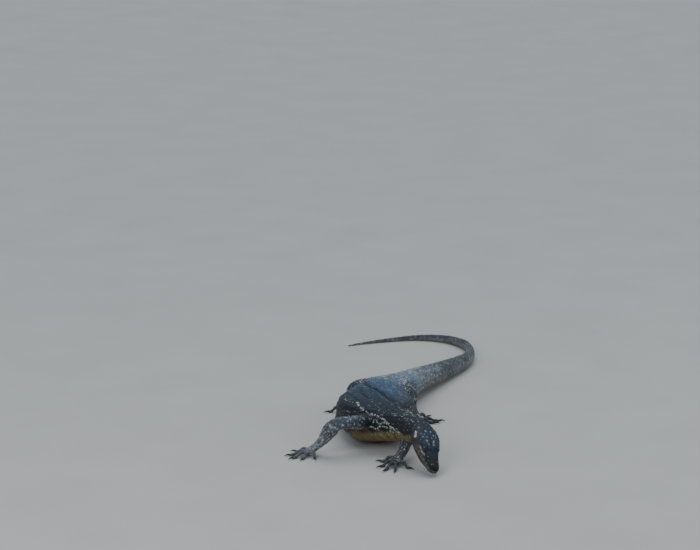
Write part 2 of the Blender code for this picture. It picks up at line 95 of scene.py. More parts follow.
# Along a limb, 0 is the girdle, 1 the elbow or knee, 2 the wrist or ankle and 3 the knuckles. Each row is a
# place, half width and half thickness.
ARM_SECTIONS = (
    (0.00, 0.0165, 0.0165), (0.40, 0.0136, 0.0134), (0.75, 0.0120, 0.0118), (1.00, 0.0126, 0.0120),
    (1.25, 0.0142, 0.0134), (1.60, 0.0126, 0.0114), (2.00, 0.0098, 0.0082), (2.40, 0.0114, 0.0068),
    (2.85, 0.0122, 0.0052), (3.00, 0.0092, 0.0038),
)
LEG_SECTIONS = (
    (0.00, 0.0220, 0.0210), (0.45, 0.0180, 0.0172), (0.85, 0.0146, 0.0142), (1.00, 0.0140, 0.0138),
    (1.30, 0.0138, 0.0132), (1.65, 0.0104, 0.0098), (2.00, 0.0084, 0.0080), (2.40, 0.0094, 0.0066),
    (2.85, 0.0114, 0.0054), (3.00, 0.0090, 0.0038),
)
# For each toe: how far behind the knuckles it starts, and how far outwards of the limb's line.
HAND_ROOTS = ((0.0160, -0.0080), (0.0060, -0.0058), (0.0035, 0.0), (0.0050, 0.0054), (0.0100, 0.0086))
FOOT_ROOTS = ((0.0100, -0.0078), (0.0050, -0.0052), (0.0025, -0.0006), (0.0040, 0.0046), (0.0180, 0.0074))
ARM = dict(
    sections=ARM_SECTIONS, rounding=0.026, toe_roots=HAND_ROOTS, parts=("upper_arm", "forearm", "hand"),
)
LEG = dict(
    sections=LEG_SECTIONS, rounding=0.034, toe_roots=FOOT_ROOTS, parts=("thigh", "shank", "foot"),
    toe_lengths=(0.018, 0.026, 0.035, 0.040, 0.026),
)
# A toe's angle is in degrees outwards from the way the limb points.
LIMBS = {
    "right_hand": dict(
        ARM,
        joints=(
            (-0.022, -0.288, 0.054), (-0.096, -0.330, 0.0635),
            (-0.126, -0.323, 0.020), (-0.152, -0.326, 0.0042),
        ),
        toe_angles=(-96, -58, -34, -11, 26),
        toe_lengths=(0.018, 0.026, 0.035, 0.035, 0.028),
    ),
    "left_hand": dict(
        ARM,
        joints=(
            (0.034, -0.266, 0.054), (0.044, -0.318, 0.064),
            (0.027, -0.370, 0.0215), (0.007, -0.388, 0.0044),
        ),
        toe_angles=(-58, -6, 20, 42, 96),
        toe_lengths=(0.028, 0.028, 0.036, 0.034, 0.026),
    ),
    "right_foot": dict(
        LEG,
        joints=(
            (0.018, 0.006, 0.037), (-0.061, -0.062, 0.053),
            (-0.068, -0.036, 0.018), (-0.089, -0.074, 0.0046),
        ),
        toe_angles=(-50, -36, -28, -20, 44),
    ),
    "left_foot": dict(
        LEG,
        joints=(
            (0.040, -0.004, 0.036), (0.045, -0.062, 0.049),
            (0.049, -0.098, 0.018), (0.059, -0.130, 0.0046),
        ),
        toe_angles=(6, 34, 62, 80, 118),
    ),
}
TOE_ROOT, TOE_TIP = 0.0040, 0.0028  # a toe's radius at its root and tip
TOE_SINK = 0.0003  # how far its round tip would reach under the floor, which makes it flat there
TOE_ARCH = 0.0042  # how far its middle rises over the way down from its root
TOE_SWELL = 0.0003  # how much thicker it is at its joints
CLAW_LENGTH, CLAW_ROOT, CLAW_TURN, CLAW_LIFT = 0.0105, 0.0018, 52.0, 18.0
CLAW_WIDE, CLAW_TALL = 0.74, 1.12  # half width and half height against its radius
CLAW_BURIED = 0.0016  # how far its root lies inside the toe
CLAW_OVER_FLOOR = 0.0002
SIDES = (1, -1)  # the body's left and right
BODY_NODES = (
    "head", "lower_jaw", "neck", "trunk", "tail_root", "tail_middle", "tail_bend_near", "tail_bend_far",
    "tail_whip", "tail_tip",
)


# ---------------------------------------------------------------- lines and sections
def evenly(points, count):
    """The same line with its points at equal distances."""
    far = np.concatenate([[0.0], np.cumsum(np.linalg.norm(np.diff(points, axis=0), axis=1))])
    at = np.linspace(0, far[-1], count)
    return np.stack([np.interp(at, far, points[:, k]) for k in range(3)], 1)


def hermite(x, y, slope, at):
    """Values of a smooth curve through rows y at x, with these slopes."""
    at = np.clip(at, x[0], x[-1])
    i = np.clip(np.searchsorted(x, at, "right") - 1, 0, len(x) - 2)
    h = (x[i + 1] - x[i])[:, None]
    t = (at - x[i])[:, None] / h
    return (
        (2 * t**3 - 3 * t**2 + 1) * y[i]
        + (t**3 - 2 * t**2 + t) * h * slope[i]
        + (3 * t**2 - 2 * t**3) * y[i + 1]
        + (t**3 - t**2) * h * slope[i + 1]
    )


def through(points, count):
    """Evenly spaced points on a smooth curve through these ones."""
    p = np.array(points, float)
    gap = np.sqrt(np.linalg.norm(np.diff(p, axis=0), axis=1))
    knots = np.concatenate([[0.0], np.cumsum(gap)])
    slope = np.gradient(p, knots, axis=0, edge_order=2 if len(p) > 2 else 1)
    return evenly(hermite(knots, p, slope, np.linspace(0, knots[-1], 40 * len(p))), count)


def rounded(points, width, count=240):
    """A line through these points with its corners rounded over about this width."""
    line = evenly(np.array(points, float), count)
    length = np.linalg.norm(np.diff(line, axis=0), axis=1).sum()
    reach = max(1, int(width / length * count))
    ahead = line[-1] + (line[-1] - line[-2]) * np.arange(1, reach + 1)[:, None]
    behind = line[0] - (line[1] - line[0]) * np.arange(reach, 0, -1)[:, None]
    weight = np.hanning(2 * reach + 3)[1:-1]
    padded = np.vstack([behind, line, ahead])
    smooth = [np.convolve(padded[:, k], weight / weight.sum(), "valid") for k in range(3)]
    return evenly(np.stack(smooth, 1), count)


def eased(table, at):
    """Values of a table's columns at these places, by a curve that never overshoots its rows."""
    rows = np.array(table, float)
    x, y = rows[:, 0], rows[:, 1:]
    rise = np.diff(y, axis=0) / np.diff(x)[:, None]
    slope = np.zeros_like(y)
    turn = rise[:-1] * rise[1:] > 0
    mean = 2 * rise[:-1] * rise[1:] / np.where(turn, rise[:-1] + rise[1:], 1)
    slope[1:-1] = np.where(turn, mean, 0)
    slope[0], slope[-1] = rise[0], rise[-1]
    return hermite(x, y, slope, np.asarray(at, float))


def unit(v):
    return v / np.maximum(np.linalg.norm(v, axis=-1, keepdims=True), 1e-12)


def smoothstep(low, high, value):
    t = np.clip((value - low) / (high - low), 0, 1)
    return t * t * (3 - 2 * t)


def bell(value, middle, width):
    return np.exp(-(((value - middle) / width) ** 2))


class Tube:
    """A line with its way ahead, to the side and up, and the surface round it."""

    def __init__(self, points, across, surface, roll=None):
        self.points = np.asarray(points, float)
        step = np.linalg.norm(np.diff(self.points, axis=0), axis=1)
        self.far = np.concatenate([[0.0], np.cumsum(step)])
        self.length = self.far[-1]
        self.ahead = unit(np.gradient(self.points, self.far, axis=0))
        across = np.broadcast_to(across, self.points.shape)
        side = unit(across - self.ahead * (across * self.ahead).sum(1, keepdims=True))
        up = np.cross(side, self.ahead)
        turn = np.radians(roll(self.far) if roll else 0 * self.far)[:, None]
        self.side = side * np.cos(turn) - up * np.sin(turn)
        self.up = up * np.cos(turn) + side * np.sin(turn)
        self.surface = surface

    def at(self, far):
        """The point and its three directions at these distances."""
        def read(column):
            return np.stack([np.interp(far, self.far, column[:, k]) for k in range(3)], -1)

        return read(self.points), unit(read(self.ahead)), unit(read(self.side)), unit(read(self.up))

    def place(self, far, aside, above):
        """Points in space, given along the tube, to its side and above its line."""
        point, _, side, up = self.at(far)
        return point + np.asarray(aside)[..., None] * side + np.asarray(above)[..., None] * up

    def skin(self, far, angle):
        """Points on the surface at an angle: 0 is the left side of the body and a quarter turn its back."""
        return self.place(far, *self.surface(np.asarray(far, float), np.asarray(angle, float)))

    def read(self, points):
        """How far along, to the side and above these points are."""
        nearest = np.empty(len(points), int)
        line = self.points.astype(np.float32)
        own = (line**2).sum(1)
        for start in range(0, len(points), 20000):
            some = points[start : start + 20000].astype(np.float32)
            nearest[start : start + 20000] = (own[None] - 2 * some @ line.T).argmin(1)
        gap = points - self.points[nearest]
        along = (gap * self.ahead[nearest]).sum(1)
        far = self.far[nearest] + along
        return far, (gap * self.side[nearest]).sum(1), (gap * self.up[nearest]).sum(1)

    def fullness(self, far, aside, above):
        """About 1 on the surface, less inside, more outside."""
        angle = np.arctan2(above, aside)
        inside = np.clip(far, 0, self.length)
        over = np.abs(far - inside)
        x, y = self.surface(inside, angle)
        return (np.hypot(aside, above) + over) / np.maximum(np.hypot(x, y), 1e-5)


def turned(rise, mirrored):
    """The angle round the body of a rise, on the left side or mirrored to the right."""
    return np.radians(rise if mirrored == 1 else 180 - rise)


def superellipse(angle, half_width, above, below, squareness, crest):
    """Across and up at an angle round a section."""
    c, s = np.cos(angle), np.sin(angle)
    power = 2 / squareness
    across = half_width * np.sign(c) * np.abs(c) ** power
    up = np.where(s > 0, above, below) * np.sign(s) * np.abs(s) ** power
    return across * (1 - crest * np.clip(s, 0, 1) ** 2), up


def inset(size):
    """A half size with the coat's depth taken off."""
    return size - np.minimum(COAT_DEPTH, 0.3 * size)


def body_surface(far, angle):
    width, above, below, squareness, crest = eased(SECTIONS, np.atleast_1d(far)).T
    across, up = superellipse(angle, inset(width), inset(above), inset(below), squareness, crest)
    bump = bell(far, BROW_AT, BROW_LENGTH)
    for side in (BROW_ANGLE, 180 - BROW_ANGLE):
        near = bell(np.degrees(angle), side, BROW_SPREAD) * bump * BROW_HEIGHT
        across = across + near * np.cos(angle)
        up = up + near * np.sin(angle)
    return across, up


def body_tube():
    points = through(ROUTE, ROUTE_POINTS)
    left = np.cross(unit(np.gradient(points, axis=0)), (0.0, 0.0, 1.0))

    def roll(far):
        return HEAD_ROLL * np.clip((ROLL_STARTS - far) / ROLL_OVER, 0, 1)

    return Tube(points, left, body_surface, roll)


def limb_tube(limb):
    """The limb's tube, with its side along the elbow's hinge and flat across the palm."""
    girdle, elbow, wrist, knuckles = (np.array(j) for j in limb["joints"])
    points = rounded(limb["joints"], limb["rounding"])
    far = np.concatenate([[0.0], np.cumsum(np.linalg.norm(np.diff(points, axis=0), axis=1))])
    inner = [far[np.argmin(np.linalg.norm(points - joint, axis=1))] for joint in (elbow, wrist)]
    joints = np.array([0.0, *inner, far[-1]])
    hinge = unit(np.cross(elbow - girdle, wrist - elbow))
    flat = unit(np.cross(knuckles - wrist, (0.0, 0.0, 1.0)))
    if hinge @ flat < 0:
        hinge = -hinge
    place = np.interp(np.linspace(0, joints[-1], len(points)), joints, range(4))[:, None]
    blend = smoothstep(1.35, 2.0, place)

    def surface(at, angle):
        half_width, half_thickness = eased(limb["sections"], np.interp(np.atleast_1d(at), joints, range(4))).T
        return inset(half_width) * np.cos(angle), inset(half_thickness) * np.sin(angle)

    tube = Tube(points, unit(hinge * (1 - blend) + flat * blend), surface)
    tube.joints = joints
    return tube


def toe_tubes(name, limb, tube):
    """Five toes, each from the knuckles over its joints down to the floor."""
    ahead = tube.at(tube.length)[1]
    ahead = unit(np.array([ahead[0], ahead[1], 0.0]))
    across = unit(np.cross(ahead, (0.0, 0.0, 1.0)))
    outward = across if name.startswith("right") else -across
    toes = []
    for (back, aside), angle, length in zip(limb["toe_roots"], limb["toe_angles"], limb["toe_lengths"]):
        turn = math.radians(angle)
        heading = ahead * math.cos(turn) + outward * math.sin(turn)
        palm = tube.at(tube.length - back)[0]
        root = palm + outward * aside
        root[2] = max(TOE_ROOT, 0.85 * palm[2])
        share = np.linspace(0, 1, 41)
        down = np.minimum(share * 1.25, 1.0)
        along = root[None, :2] + share[:, None] * length * heading[None, :2]
        rest = TOE_TIP - TOE_SINK
        height = rest + (root[2] - rest) * np.cos(math.pi / 2 * down) ** 2
        height += TOE_ARCH * np.sin(math.pi * down) ** 2
        toes.append(Tube(np.column_stack([along, height]), np.cross(heading, (0.0, 0.0, 1.0)), None))
        toes[-1].surface = toe_surface(toes[-1].length)
    return toes


def toe_surface(length):
    """The surface of a toe of this length: two swellings along it and a rounded tip."""
    def surface(far, angle):
        share = np.clip(np.atleast_1d(far) / length, 0, 1)
        radius = TOE_ROOT + (TOE_TIP - TOE_ROOT) * share + TOE_SWELL * np.cos(2 * math.pi * 2.5 * share)
        radius = inset(radius) * (1 - 0.20 * smoothstep(0.80, 1.0, share))
        radius = radius * np.sqrt(np.clip((1 - share) / 0.06, 0.05, 1))  # the tip rounds over
        return radius * np.cos(angle), radius * np.sin(angle)

    return surface


# ---------------------------------------------------------------- meshes
def loft(rings):
    """A closed tube through rings of points, by extruding the first ring's edge from each to the next."""
    bm = bmesh.new()
    ring = bmesh.ops.create_circle(bm, cap_ends=False, segments=len(rings[0]), radius=1.0)["verts"]
    for vertex, place in zip(ring, rings[0]):
        vertex.co = place
    edges = bm.edges[:]
    bmesh.ops.contextual_create(bm, geom=ring)
    for places in rings[1:]:
        out = bmesh.ops.extrude_edge_only(bm, edges=edges)["geom"]
        edges = [g for g in out if isinstance(g, bmesh.types.BMEdge)]
        order = {v: k for k, v in enumerate(ring)}
        placed = []
        for new in (v for v in out if isinstance(v, bmesh.types.BMVert)):
            old = next(e.other_vert(new) for e in new.link_edges if e.other_vert(new) in order)
            placed.append((order[old], new))
        placed.sort(key=lambda pair: pair[0])
        ring = [new for _, new in placed]
        for vertex, place in zip(ring, places):
            vertex.co = place
    bmesh.ops.contextual_create(bm, geom=ring)
    bmesh.ops.recalc_face_normals(bm, faces=bm.faces)
    return bm


def tube_mesh(tube, places, sides):
    angle = (np.arange(sides) + 0.5) * 2 * math.pi / sides
    return loft([tube.skin(np.full(sides, far), angle) for far in places])


def finished(bm, name):
    """The bmesh as a mesh of this name; the bmesh goes."""
    mesh = bpy.data.meshes.new(name)
    bm.to_mesh(mesh)
    bm.free()
    return mesh


def linked(name, data):
    """A new object in the scene."""
    made = bpy.data.objects.new(name, data)
    bpy.context.scene.collection.objects.link(made)
    return made


def add_piece(name, mesh, material):
    """A finished piece at the origin that rides on the body."""
    piece = linked(name, mesh)
    mesh.materials.clear()
    mesh.materials.append(material)
    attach(piece, "root")
    return piece


def evaluated(obj):
    """The mesh that an object's modifiers make; the object goes."""
    mesh = bpy.data.meshes.new_from_object(obj.evaluated_get(bpy.context.evaluated_depsgraph_get()))
    bpy.data.objects.remove(obj, do_unlink=True)
    return mesh


def vectors(rows, name):
    flat = np.empty(3 * len(rows), np.float32)
    rows.foreach_get(name, flat)
    return flat.reshape(-1, 3).astype(float)


def coordinates(mesh):
    return vectors(mesh.vertices, "co")


def normals(mesh):
    return vectors(mesh.vertex_normals, "vector")


def move_points(mesh, points):
    mesh.vertices.foreach_set("co", points.astype(np.float32).ravel())
    mesh.update()


def store(mesh, name, form, values):
    """A value for each point of a mesh, for its material."""
    layer = mesh.attributes.new(name, form, "POINT")
    layer.data.foreach_set("color" if form == "FLOAT_COLOR" else "value", values.astype(np.float32).ravel())


def point_tree(points):
    """A tree that finds the nearest of these points."""
    tree = KDTree(len(points))
    for k, point in enumerate(points):
        tree.insert(point, k)
    tree.balance()
    return tree


# ---------------------------------------------------------------- the skin
HEAD_STEP, BODY_STEP = 0.0012, 0.0035  # between the tubes' rings
SNOUT_RINGS = (0.0, 0.0010, 0.0022)
BODY_FACETS, LIMB_FACETS, TOE_FACETS = 96, 40, 20
LIMB_RINGS, TOE_RINGS = 70, 26
LIMB_SEED = 40
FAIR_LEVELS, FAIR_STEPS = 10, 25
BODY_REACH, LIMB_REACH = 0.085, 0.035  # how far from a tube's line a point may lie and still be on it


def joined_tubes(body, limbs):
    """Closed tubes for the body, the limbs and the toes, all in one mesh and still overlapping."""
    head = np.concatenate([SNOUT_RINGS, np.arange(0.004, HEAD_END, HEAD_STEP)])
    rest = np.arange(HEAD_END, BODY_END, BODY_STEP)
    shells = [tube_mesh(body, np.concatenate([head, rest, [BODY_END]]), BODY_FACETS)]
    for tube, toes in limbs.values():
        shells.append(tube_mesh(tube, np.linspace(0, tube.length, LIMB_RINGS), LIMB_FACETS))
        shells += [tube_mesh(toe, np.linspace(0, toe.length, TOE_RINGS), TOE_FACETS) for toe in toes]
    whole = bmesh.new()
    for shell in shells:
        part = finished(shell, "shell")
        whole.from_mesh(part)
        bpy.data.meshes.remove(part)
    return finished(whole, "skin")


def remeshed(mesh, voxel):
    obj = linked("remesh", mesh)
    modifier = obj.modifiers.new("join", "REMESH")
    modifier.mode, modifier.voxel_size = "VOXEL", voxel
    return evaluated(obj)


def smoothed(mesh, weight, steps):
    """Fairs the mesh where weight is above nothing, as much as it says."""
    obj = linked("smooth", mesh)
    group = obj.vertex_groups.new(name="fair")
    levels = np.round(weight * FAIR_LEVELS).astype(int)
    for level in range(1, FAIR_LEVELS + 1):
        chosen = np.nonzero(levels == level)[0]
        group.add(chosen.tolist(), level / FAIR_LEVELS, "REPLACE")
    modifier = obj.modifiers.new("fair", "SMOOTH")
    modifier.factor, modifier.iterations, modifier.vertex_group = 0.5, steps, "fair"
    return evaluated(obj)


def numbered(limbs):
    """Each limb's name, tube, toes and number among all the tubes; its toes have the next five."""
    for k, (name, (tube, toes)) in enumerate(limbs.items()):
        yield name, tube, toes, 1 + (1 + len(toes)) * k


class Owners:
    """For each point: which tube it lies on, its place there, and how near it is to a join of two tubes."""

    def __init__(self, points, body, limbs):
        self.tubes = [body]
        for tube, toes in limbs.values():
            self.tubes += [tube, *toes]
        count = len(points)
        best, second = np.full(count, 99.0), np.full(count, 99.0)
        self.owner = np.zeros(count, int)
        self.far, self.aside, self.above = np.zeros(count), np.zeros(count), np.zeros(count)
        for number, tube in enumerate(self.tubes):
            reach = BODY_REACH if number == 0 else LIMB_REACH
            low, high = tube.points.min(0) - reach, tube.points.max(0) + reach
            near = np.nonzero(((points > low) & (points < high)).all(1))[0]
            far, aside, above = tube.read(points[near])
            full = tube.fullness(far, aside, above)
            wins = full < best[near]
            second[near] = np.where(wins, best[near], np.minimum(second[near], full))
            won = near[wins]
            best[won] = full[wins]
            self.owner[won] = number
            self.far[won], self.aside[won], self.above[won] = far[wins], aside[wins], above[wins]
        self.join = 1 - smoothstep(1.12, 1.6, second)
        self.on_body = self.owner == 0
        self.on_toe = (self.owner > 0) & (self.owner % 6 != 1)
        self.rise = np.degrees(np.arctan2(self.above, np.abs(self.aside)))


# ---------------------------------------------------------------- shaping the skin
def window(value, low, high, soft):
    """1 between low and high, and softly nothing outside."""
    return smoothstep(low, low + soft, value) * (1 - smoothstep(high - soft, high, value))


# Creases of the body: half width, depth, the sides that have it, and its course as distance and rise.
CREASES = {
    "gular fold": (0.0030, 0.0018, "both", ((0.148, -22), (0.158, -58), (0.162, -90))),
    "second gular fold": (0.0022, 0.0010, "both", ((0.128, -34), (0.134, -62), (0.136, -90))),
    "throat crease": (0.0016, 0.0013, "both", ((0.086, -10), (0.108, -22), (0.132, -30), (0.156, -36))),
    "chin crease": (0.0012, 0.0008, "both", ((0.060, -48), (0.085, -52), (0.112, -54), (0.140, -58))),
    "neck crease": (0.0018, 0.0010, "both", ((0.092, 24), (0.118, 14), (0.150, 6), (0.182, -2))),
    "nape crease": (0.0016, 0.0007, "both", ((0.100, 46), (0.130, 40), (0.165, 36), (0.195, 30))),
    "cross crease 1": (0.0016, 0.0007, "both", ((0.150, 70), (0.156, 40), (0.166, 10))),
    "cross crease 2": (0.0018, 0.0009, "both", ((0.176, 72), (0.184, 40), (0.192, 8))),
    "mouth corner": (0.0013, 0.0008, "both", ((0.0535, -5), (0.060, -9), (0.068, -17))),
    "shoulder crease": (0.0034, 0.0016, "both", ((0.196, 62), (0.212, 48), (0.228, 36), (0.238, 20))),
    "armpit crease": (
        0.0042, 0.0018, "both",
        ((0.226, 42), (0.242, 34), (0.262, 26), (0.288, 18), (0.312, 8)),
    ),
    "flank fold": (
        0.0045, 0.0026, "both",
        ((0.274, 2), (0.320, -8), (0.370, -10), (0.420, -6), (0.462, 4)),
    ),
    "upper flank fold": (0.0035, 0.0013, "both", ((0.286, 26), (0.330, 16), (0.380, 14), (0.430, 20))),
    "back fold": (
        0.0050, 0.0032, "right",
        ((0.440, 44), (0.395, 64), (0.358, 84), (0.327, 92), (0.285, 96), (0.246, 101), (0.220, 118)),
    ),
    "twin back fold": (
        0.0030, 0.0018, "right",
        ((0.402, 52), (0.380, 63), (0.344, 82), (0.312, 90), (0.276, 94)),
    ),
    "second back fold": (0.0042, 0.0020, "right", ((0.372, 58), (0.340, 72), (0.300, 80), (0.262, 84))),
    "third back fold": (0.0030, 0.0010, "right", ((0.345, 44), (0.318, 56), (0.284, 64), (0.250, 66))),
    "hip crease": (0.0030, 0.0018, "both", ((0.444, 40), (0.456, 20), (0.466, -8))),
    "vent crease": (0.0026, 0.0014, "both", ((0.536, -40), (0.540, -65), (0.541, -90))),
}
CREASE_POINTS = 60


def sides_of(sides):
    """The sides of the body that "both" or "right" stands for."""
    return SIDES if sides == "both" else (-1,)


def crease_push(points, body, own):
    """How far each point of the body moves out for the creases: in at the line, a little out beside it."""
    push = np.zeros(len(points))
    for width, depth, sides, course in CREASES.values():
        far, rise = np.array(course, float).T
        for mirrored in sides_of(sides):
            line = through(body.skin(far, turned(rise, mirrored)), CREASE_POINTS)
            reach = 4 * width
            near = own.on_body & (own.far > far.min() - reach) & (own.far < far.max() + reach)
            chosen = np.nonzero(near)[0]
            some = points[chosen]
            gap = (some**2).sum(1)[:, None] - 2 * some @ line.T + (line**2).sum(1)[None]
            closest = gap.argmin(1)
            apart = np.sqrt(np.maximum(gap[np.arange(len(some)), closest], 0))
            share = closest / (CREASE_POINTS - 1)
            fade = np.sin(math.pi * np.clip(share, 0.02, 0.98)) ** 0.6
            if course[-1][1] == -90:  # it meets its mirror image under the body, so that end doesn't fade
                fade = np.where(share > 0.5, 1.0, fade)
            push[chosen] += depth * fade * (0.35 * bell(apart, 2.0 * width, width) - bell(apart, 0, width))
    return push


def ripples(points, size, seed):
    """Soft random waves of about this size, between -1 and 1."""
    random = np.random.default_rng(seed)
    total = np.zeros(len(points))
    for _ in range(9):
        way = unit(random.normal(size=3)) * 2 * math.pi / (size * random.uniform(0.7, 1.5))
        total += np.sin(points @ way + random.uniform(0, 6.28) + 1.5 * np.sin(points @ way[[1, 2, 0]] * 0.4))
    return total / 4.5


# Ridges and hollows of the head: height, rise and its spread, and the stretch that has it, which is
# from, to and how softly it ends, or a middle and a half length.
HEAD_FORMS = (
    (0.0012, 44, 7, (0.010, 0.044, 0.008)),  # ridge from nostril to brow
    (-0.0013, 18, 10, (0.014, 0.040, 0.008)),  # hollow before the eye
    (0.0009, 58, 8, (0.036, 0.062, 0.008)),  # edge of the brow
    (0.0010, 46, 7, (0.056, 0.092, 0.010)),  # ridge over the temple
    (0.0022, 4, 19, (0.075, 0.012)),  # jaw muscle
    (-0.0012, 28, 12, (0.061, 0.007)),  # hollow behind the eye
    (-0.0011, 90, 16, (0.020, 0.062, 0.012)),  # between the brows
    (0.0007, 76, 16, (0.074, 0.010)),  # back of the crown
    (-0.0012, 12, 34, (0.101, 0.009)),  # waist behind the jaws
    (0.0010, -42, 12, (0.024, 0.082, 0.012)),  # the lower jaw's edge
    (-0.0014, -85, 20, (0.030, 0.080, 0.014)),  # between the jaws
)
# Lines beside the mouth: height, place above the lips' meeting and half width.
LIP_LINES = ((0.0004, 0.0016, 0.0010), (0.0003, -0.0017, 0.0009), (-0.0014, 0, 0.00065))
CHIN_LINE = (-0.0004, -0.0046, 0.0008)


def head_push(own):
    """Ridges and hollows of the head and the mouth's line: how far the skin moves out."""
    far = own.far
    push = np.zeros(len(far))
    for height, middle, spread, stretch in HEAD_FORMS:
        along = window(far, *stretch) if len(stretch) == 3 else bell(far, *stretch)
        push += height * bell(own.rise, middle, spread) * along
    lip = MOUTH_HEIGHT + 0.0005 * bell(far, 0.050, 0.012) - 0.0004 * bell(far, 0.026, 0.012)
    mouth = 1 - smoothstep(MOUTH_CORNER - 0.004, MOUTH_CORNER, far)
    for height, middle, width in LIP_LINES:
        push += height * bell(own.above - lip, middle, width) * mouth
    height, middle, width = CHIN_LINE
    return push + height * bell(own.above - lip, middle, width) * mouth * smoothstep(0.008, 0.02, far)


# Openings of the head: distance, rise, half length, half height, depth, raised rim.
NOSTRIL = (0.0108, 38.0, 0.0014, 0.0010, 0.0017, 0.00035)
EAR = (0.0850, 0.0, 0.0019, 0.0030, 0.0024, 0.00050)


def round_from(own, body, far, rise, mirrored):
    """How far round the body each point is from a place on it, as a length."""
    across, up = body.surface(np.array([far]), np.array([turned(rise, mirrored)]))
    turn = np.arctan2(own.above, own.aside) - math.atan2(up[0], across[0])
    return math.hypot(across[0], up[0]) * np.abs((turn + math.pi) % (2 * math.pi) - math.pi)


def opening_reaches(own, body):
    """Each opening of the head with how far off each point is: 0 in its middle and 1 at its edge."""
    for mirrored in SIDES:
        for opening in (NOSTRIL, EAR):
            far, rise, half_length, half_height = opening[:4]
            away = round_from(own, body, far, rise, mirrored)
            reach = np.sqrt(((own.far - far) / half_length) ** 2 + (away / half_height) ** 2)
            yield opening, np.where(own.on_body, reach, 9)


def eye_frame(body, mirrored):
    """The eye's middle, the way it looks, the way ahead on it and the way up."""
    point, ahead, side, up = body.at(EYE_AT[0])
    middle = point + mirrored * EYE_AT[1] * side + EYE_AT[2] * up
    gaze = unit(mirrored * side + GAZE_UP * up - GAZE_FORWARD * ahead)
    front = unit(-ahead + gaze * (ahead @ gaze))
    return middle, gaze, front, np.cross(gaze, front) * (1 if mirrored == -1 else -1)


# The eye's opening, in radians from its middle: half its length, and its height above and below.
LID_HALF_LENGTH, LID_ABOVE, LID_BELOW = 0.92, 0.50, 0.62


def lid_reach(out, gaze, front, top):
    """1 on the rim of the lids, seen from the eye's middle, less where the eye shows."""
    length, height = out @ front, out @ top
    turn = np.arccos(np.clip(out @ gaze, -1, 1)) / np.maximum(np.hypot(length, height), 1e-6)
    tall = np.where(height > 0, LID_ABOVE, LID_BELOW)
    return (np.abs(length * turn) / LID_HALF_LENGTH) ** 1.8 + (np.abs(height * turn) / tall) ** 2.0


LID_THICKNESS = 1.10  # the lids' distance from the eye's middle, in its radii
LID_COVER, COVER_SOFT = 1.09, 0.30  # the least distance of the skin elsewhere, and how softly it holds
EYE_BED = 0.80  # how deep the skin lies behind the eyeball


def shape_eyes(points, body):
    """Draws the skin round each eyeball into two lids with an opening between them."""
    for mirrored in SIDES:
        middle, gaze, front, top = eye_frame(body, mirrored)
        gap = points - middle
        apart = np.linalg.norm(gap, axis=1)
        near = np.nonzero(apart < 2.6 * EYE_RADIUS)[0]
        out = unit(gap[near])
        reach = lid_reach(out, gaze, front, top)
        lid = EYE_RADIUS * (LID_THICKNESS + 0.06 * bell(reach, 1.35, 0.35) - 0.04 * bell(reach, 2.2, 0.4))
        on_lid = (1 - smoothstep(1.5, 3.8, reach)) * (1 - smoothstep(1.5, 2.4, apart[near] / EYE_RADIUS))
        bared = 1 - smoothstep(0.90, 1.10, reach)
        size = apart[near] * (1 - on_lid) + lid * on_lid
        cover, soft = LID_COVER * EYE_RADIUS, COVER_SOFT * EYE_RADIUS
        size = np.maximum(size, cover) + np.maximum(soft - np.abs(size - cover), 0) ** 2 / (4 * soft)
        size = size * (1 - bared) + EYE_BED * EYE_RADIUS * bared
        points[near] = middle + out * size[:, None]


# Places along a limb, counted in joints, and along a toe, as a share of its length.
ELBOW_FOLDS, WRIST_FOLDS = (0.86, 0.98, 1.11), (1.86, 2.00, 2.14)
TOE_KNUCKLES, TOE_CREASES = (0.22, 0.52, 0.80), (0.36, 0.66)


def limb_push(points, own, tube, seed):
    """Muscles, tendons and joint folds of a limb."""
    place = np.interp(own.far, tube.joints, range(4))
    angle = np.arctan2(own.above, own.aside)
    push = 0.0010 * bell(place, 1.35, 0.28) * (0.5 + 0.5 * np.cos(angle - 0.6))
    push += 0.0010 * bell(place, 0.45, 0.30) * (0.5 + 0.5 * np.cos(angle + 2.2))
    for at in ELBOW_FOLDS:
        push -= 0.0006 * bell(place, at, 0.035) * (0.5 - 0.5 * np.sin(angle))
    for at in WRIST_FOLDS:
        push -= 0.0003 * bell(place, at, 0.030)
    return push + 0.0003 * ripples(points, 0.009, seed)


def toe_push(own, tube):
    """Knuckles on top of a toe and creases between them."""
    share = own.far / tube.length
    top = smoothstep(-0.2, 0.6, np.sin(np.arctan2(own.above, own.aside)))
    knuckle = sum(bell(share, at, 0.07) for at in TOE_KNUCKLES)
    crease = sum(bell(share, at, 0.035) for at in TOE_CREASES)
    return 0.0002 * knuckle * top - 0.0002 * crease


RIB_GAP = 0.0135


def body_push(points, own):
    """Loose skin in soft waves, the ribs under it, and the backbone with a hollow on each side."""
    loose = window(own.far, 0.09, 0.60, 0.06)
    push = loose * 0.00030 * ripples(points * np.array((1.0, 1.0, 1.6)), 0.016, 7)
    push += loose * 0.00014 * ripples(points, 0.006, 8)
    ribs = window(own.far, 0.26, 0.44, 0.05) * bell(own.rise, 34, 26)
    push += ribs * 0.0002 * np.cos(2 * math.pi * own.far / RIB_GAP)
    push += 0.0008 * bell(own.rise, 90, 7) * window(own.far, 0.12, 0.56, 0.06)
    return push - 0.0006 * bell(own.rise, 72, 8) * window(own.far, 0.14, 0.52, 0.06)


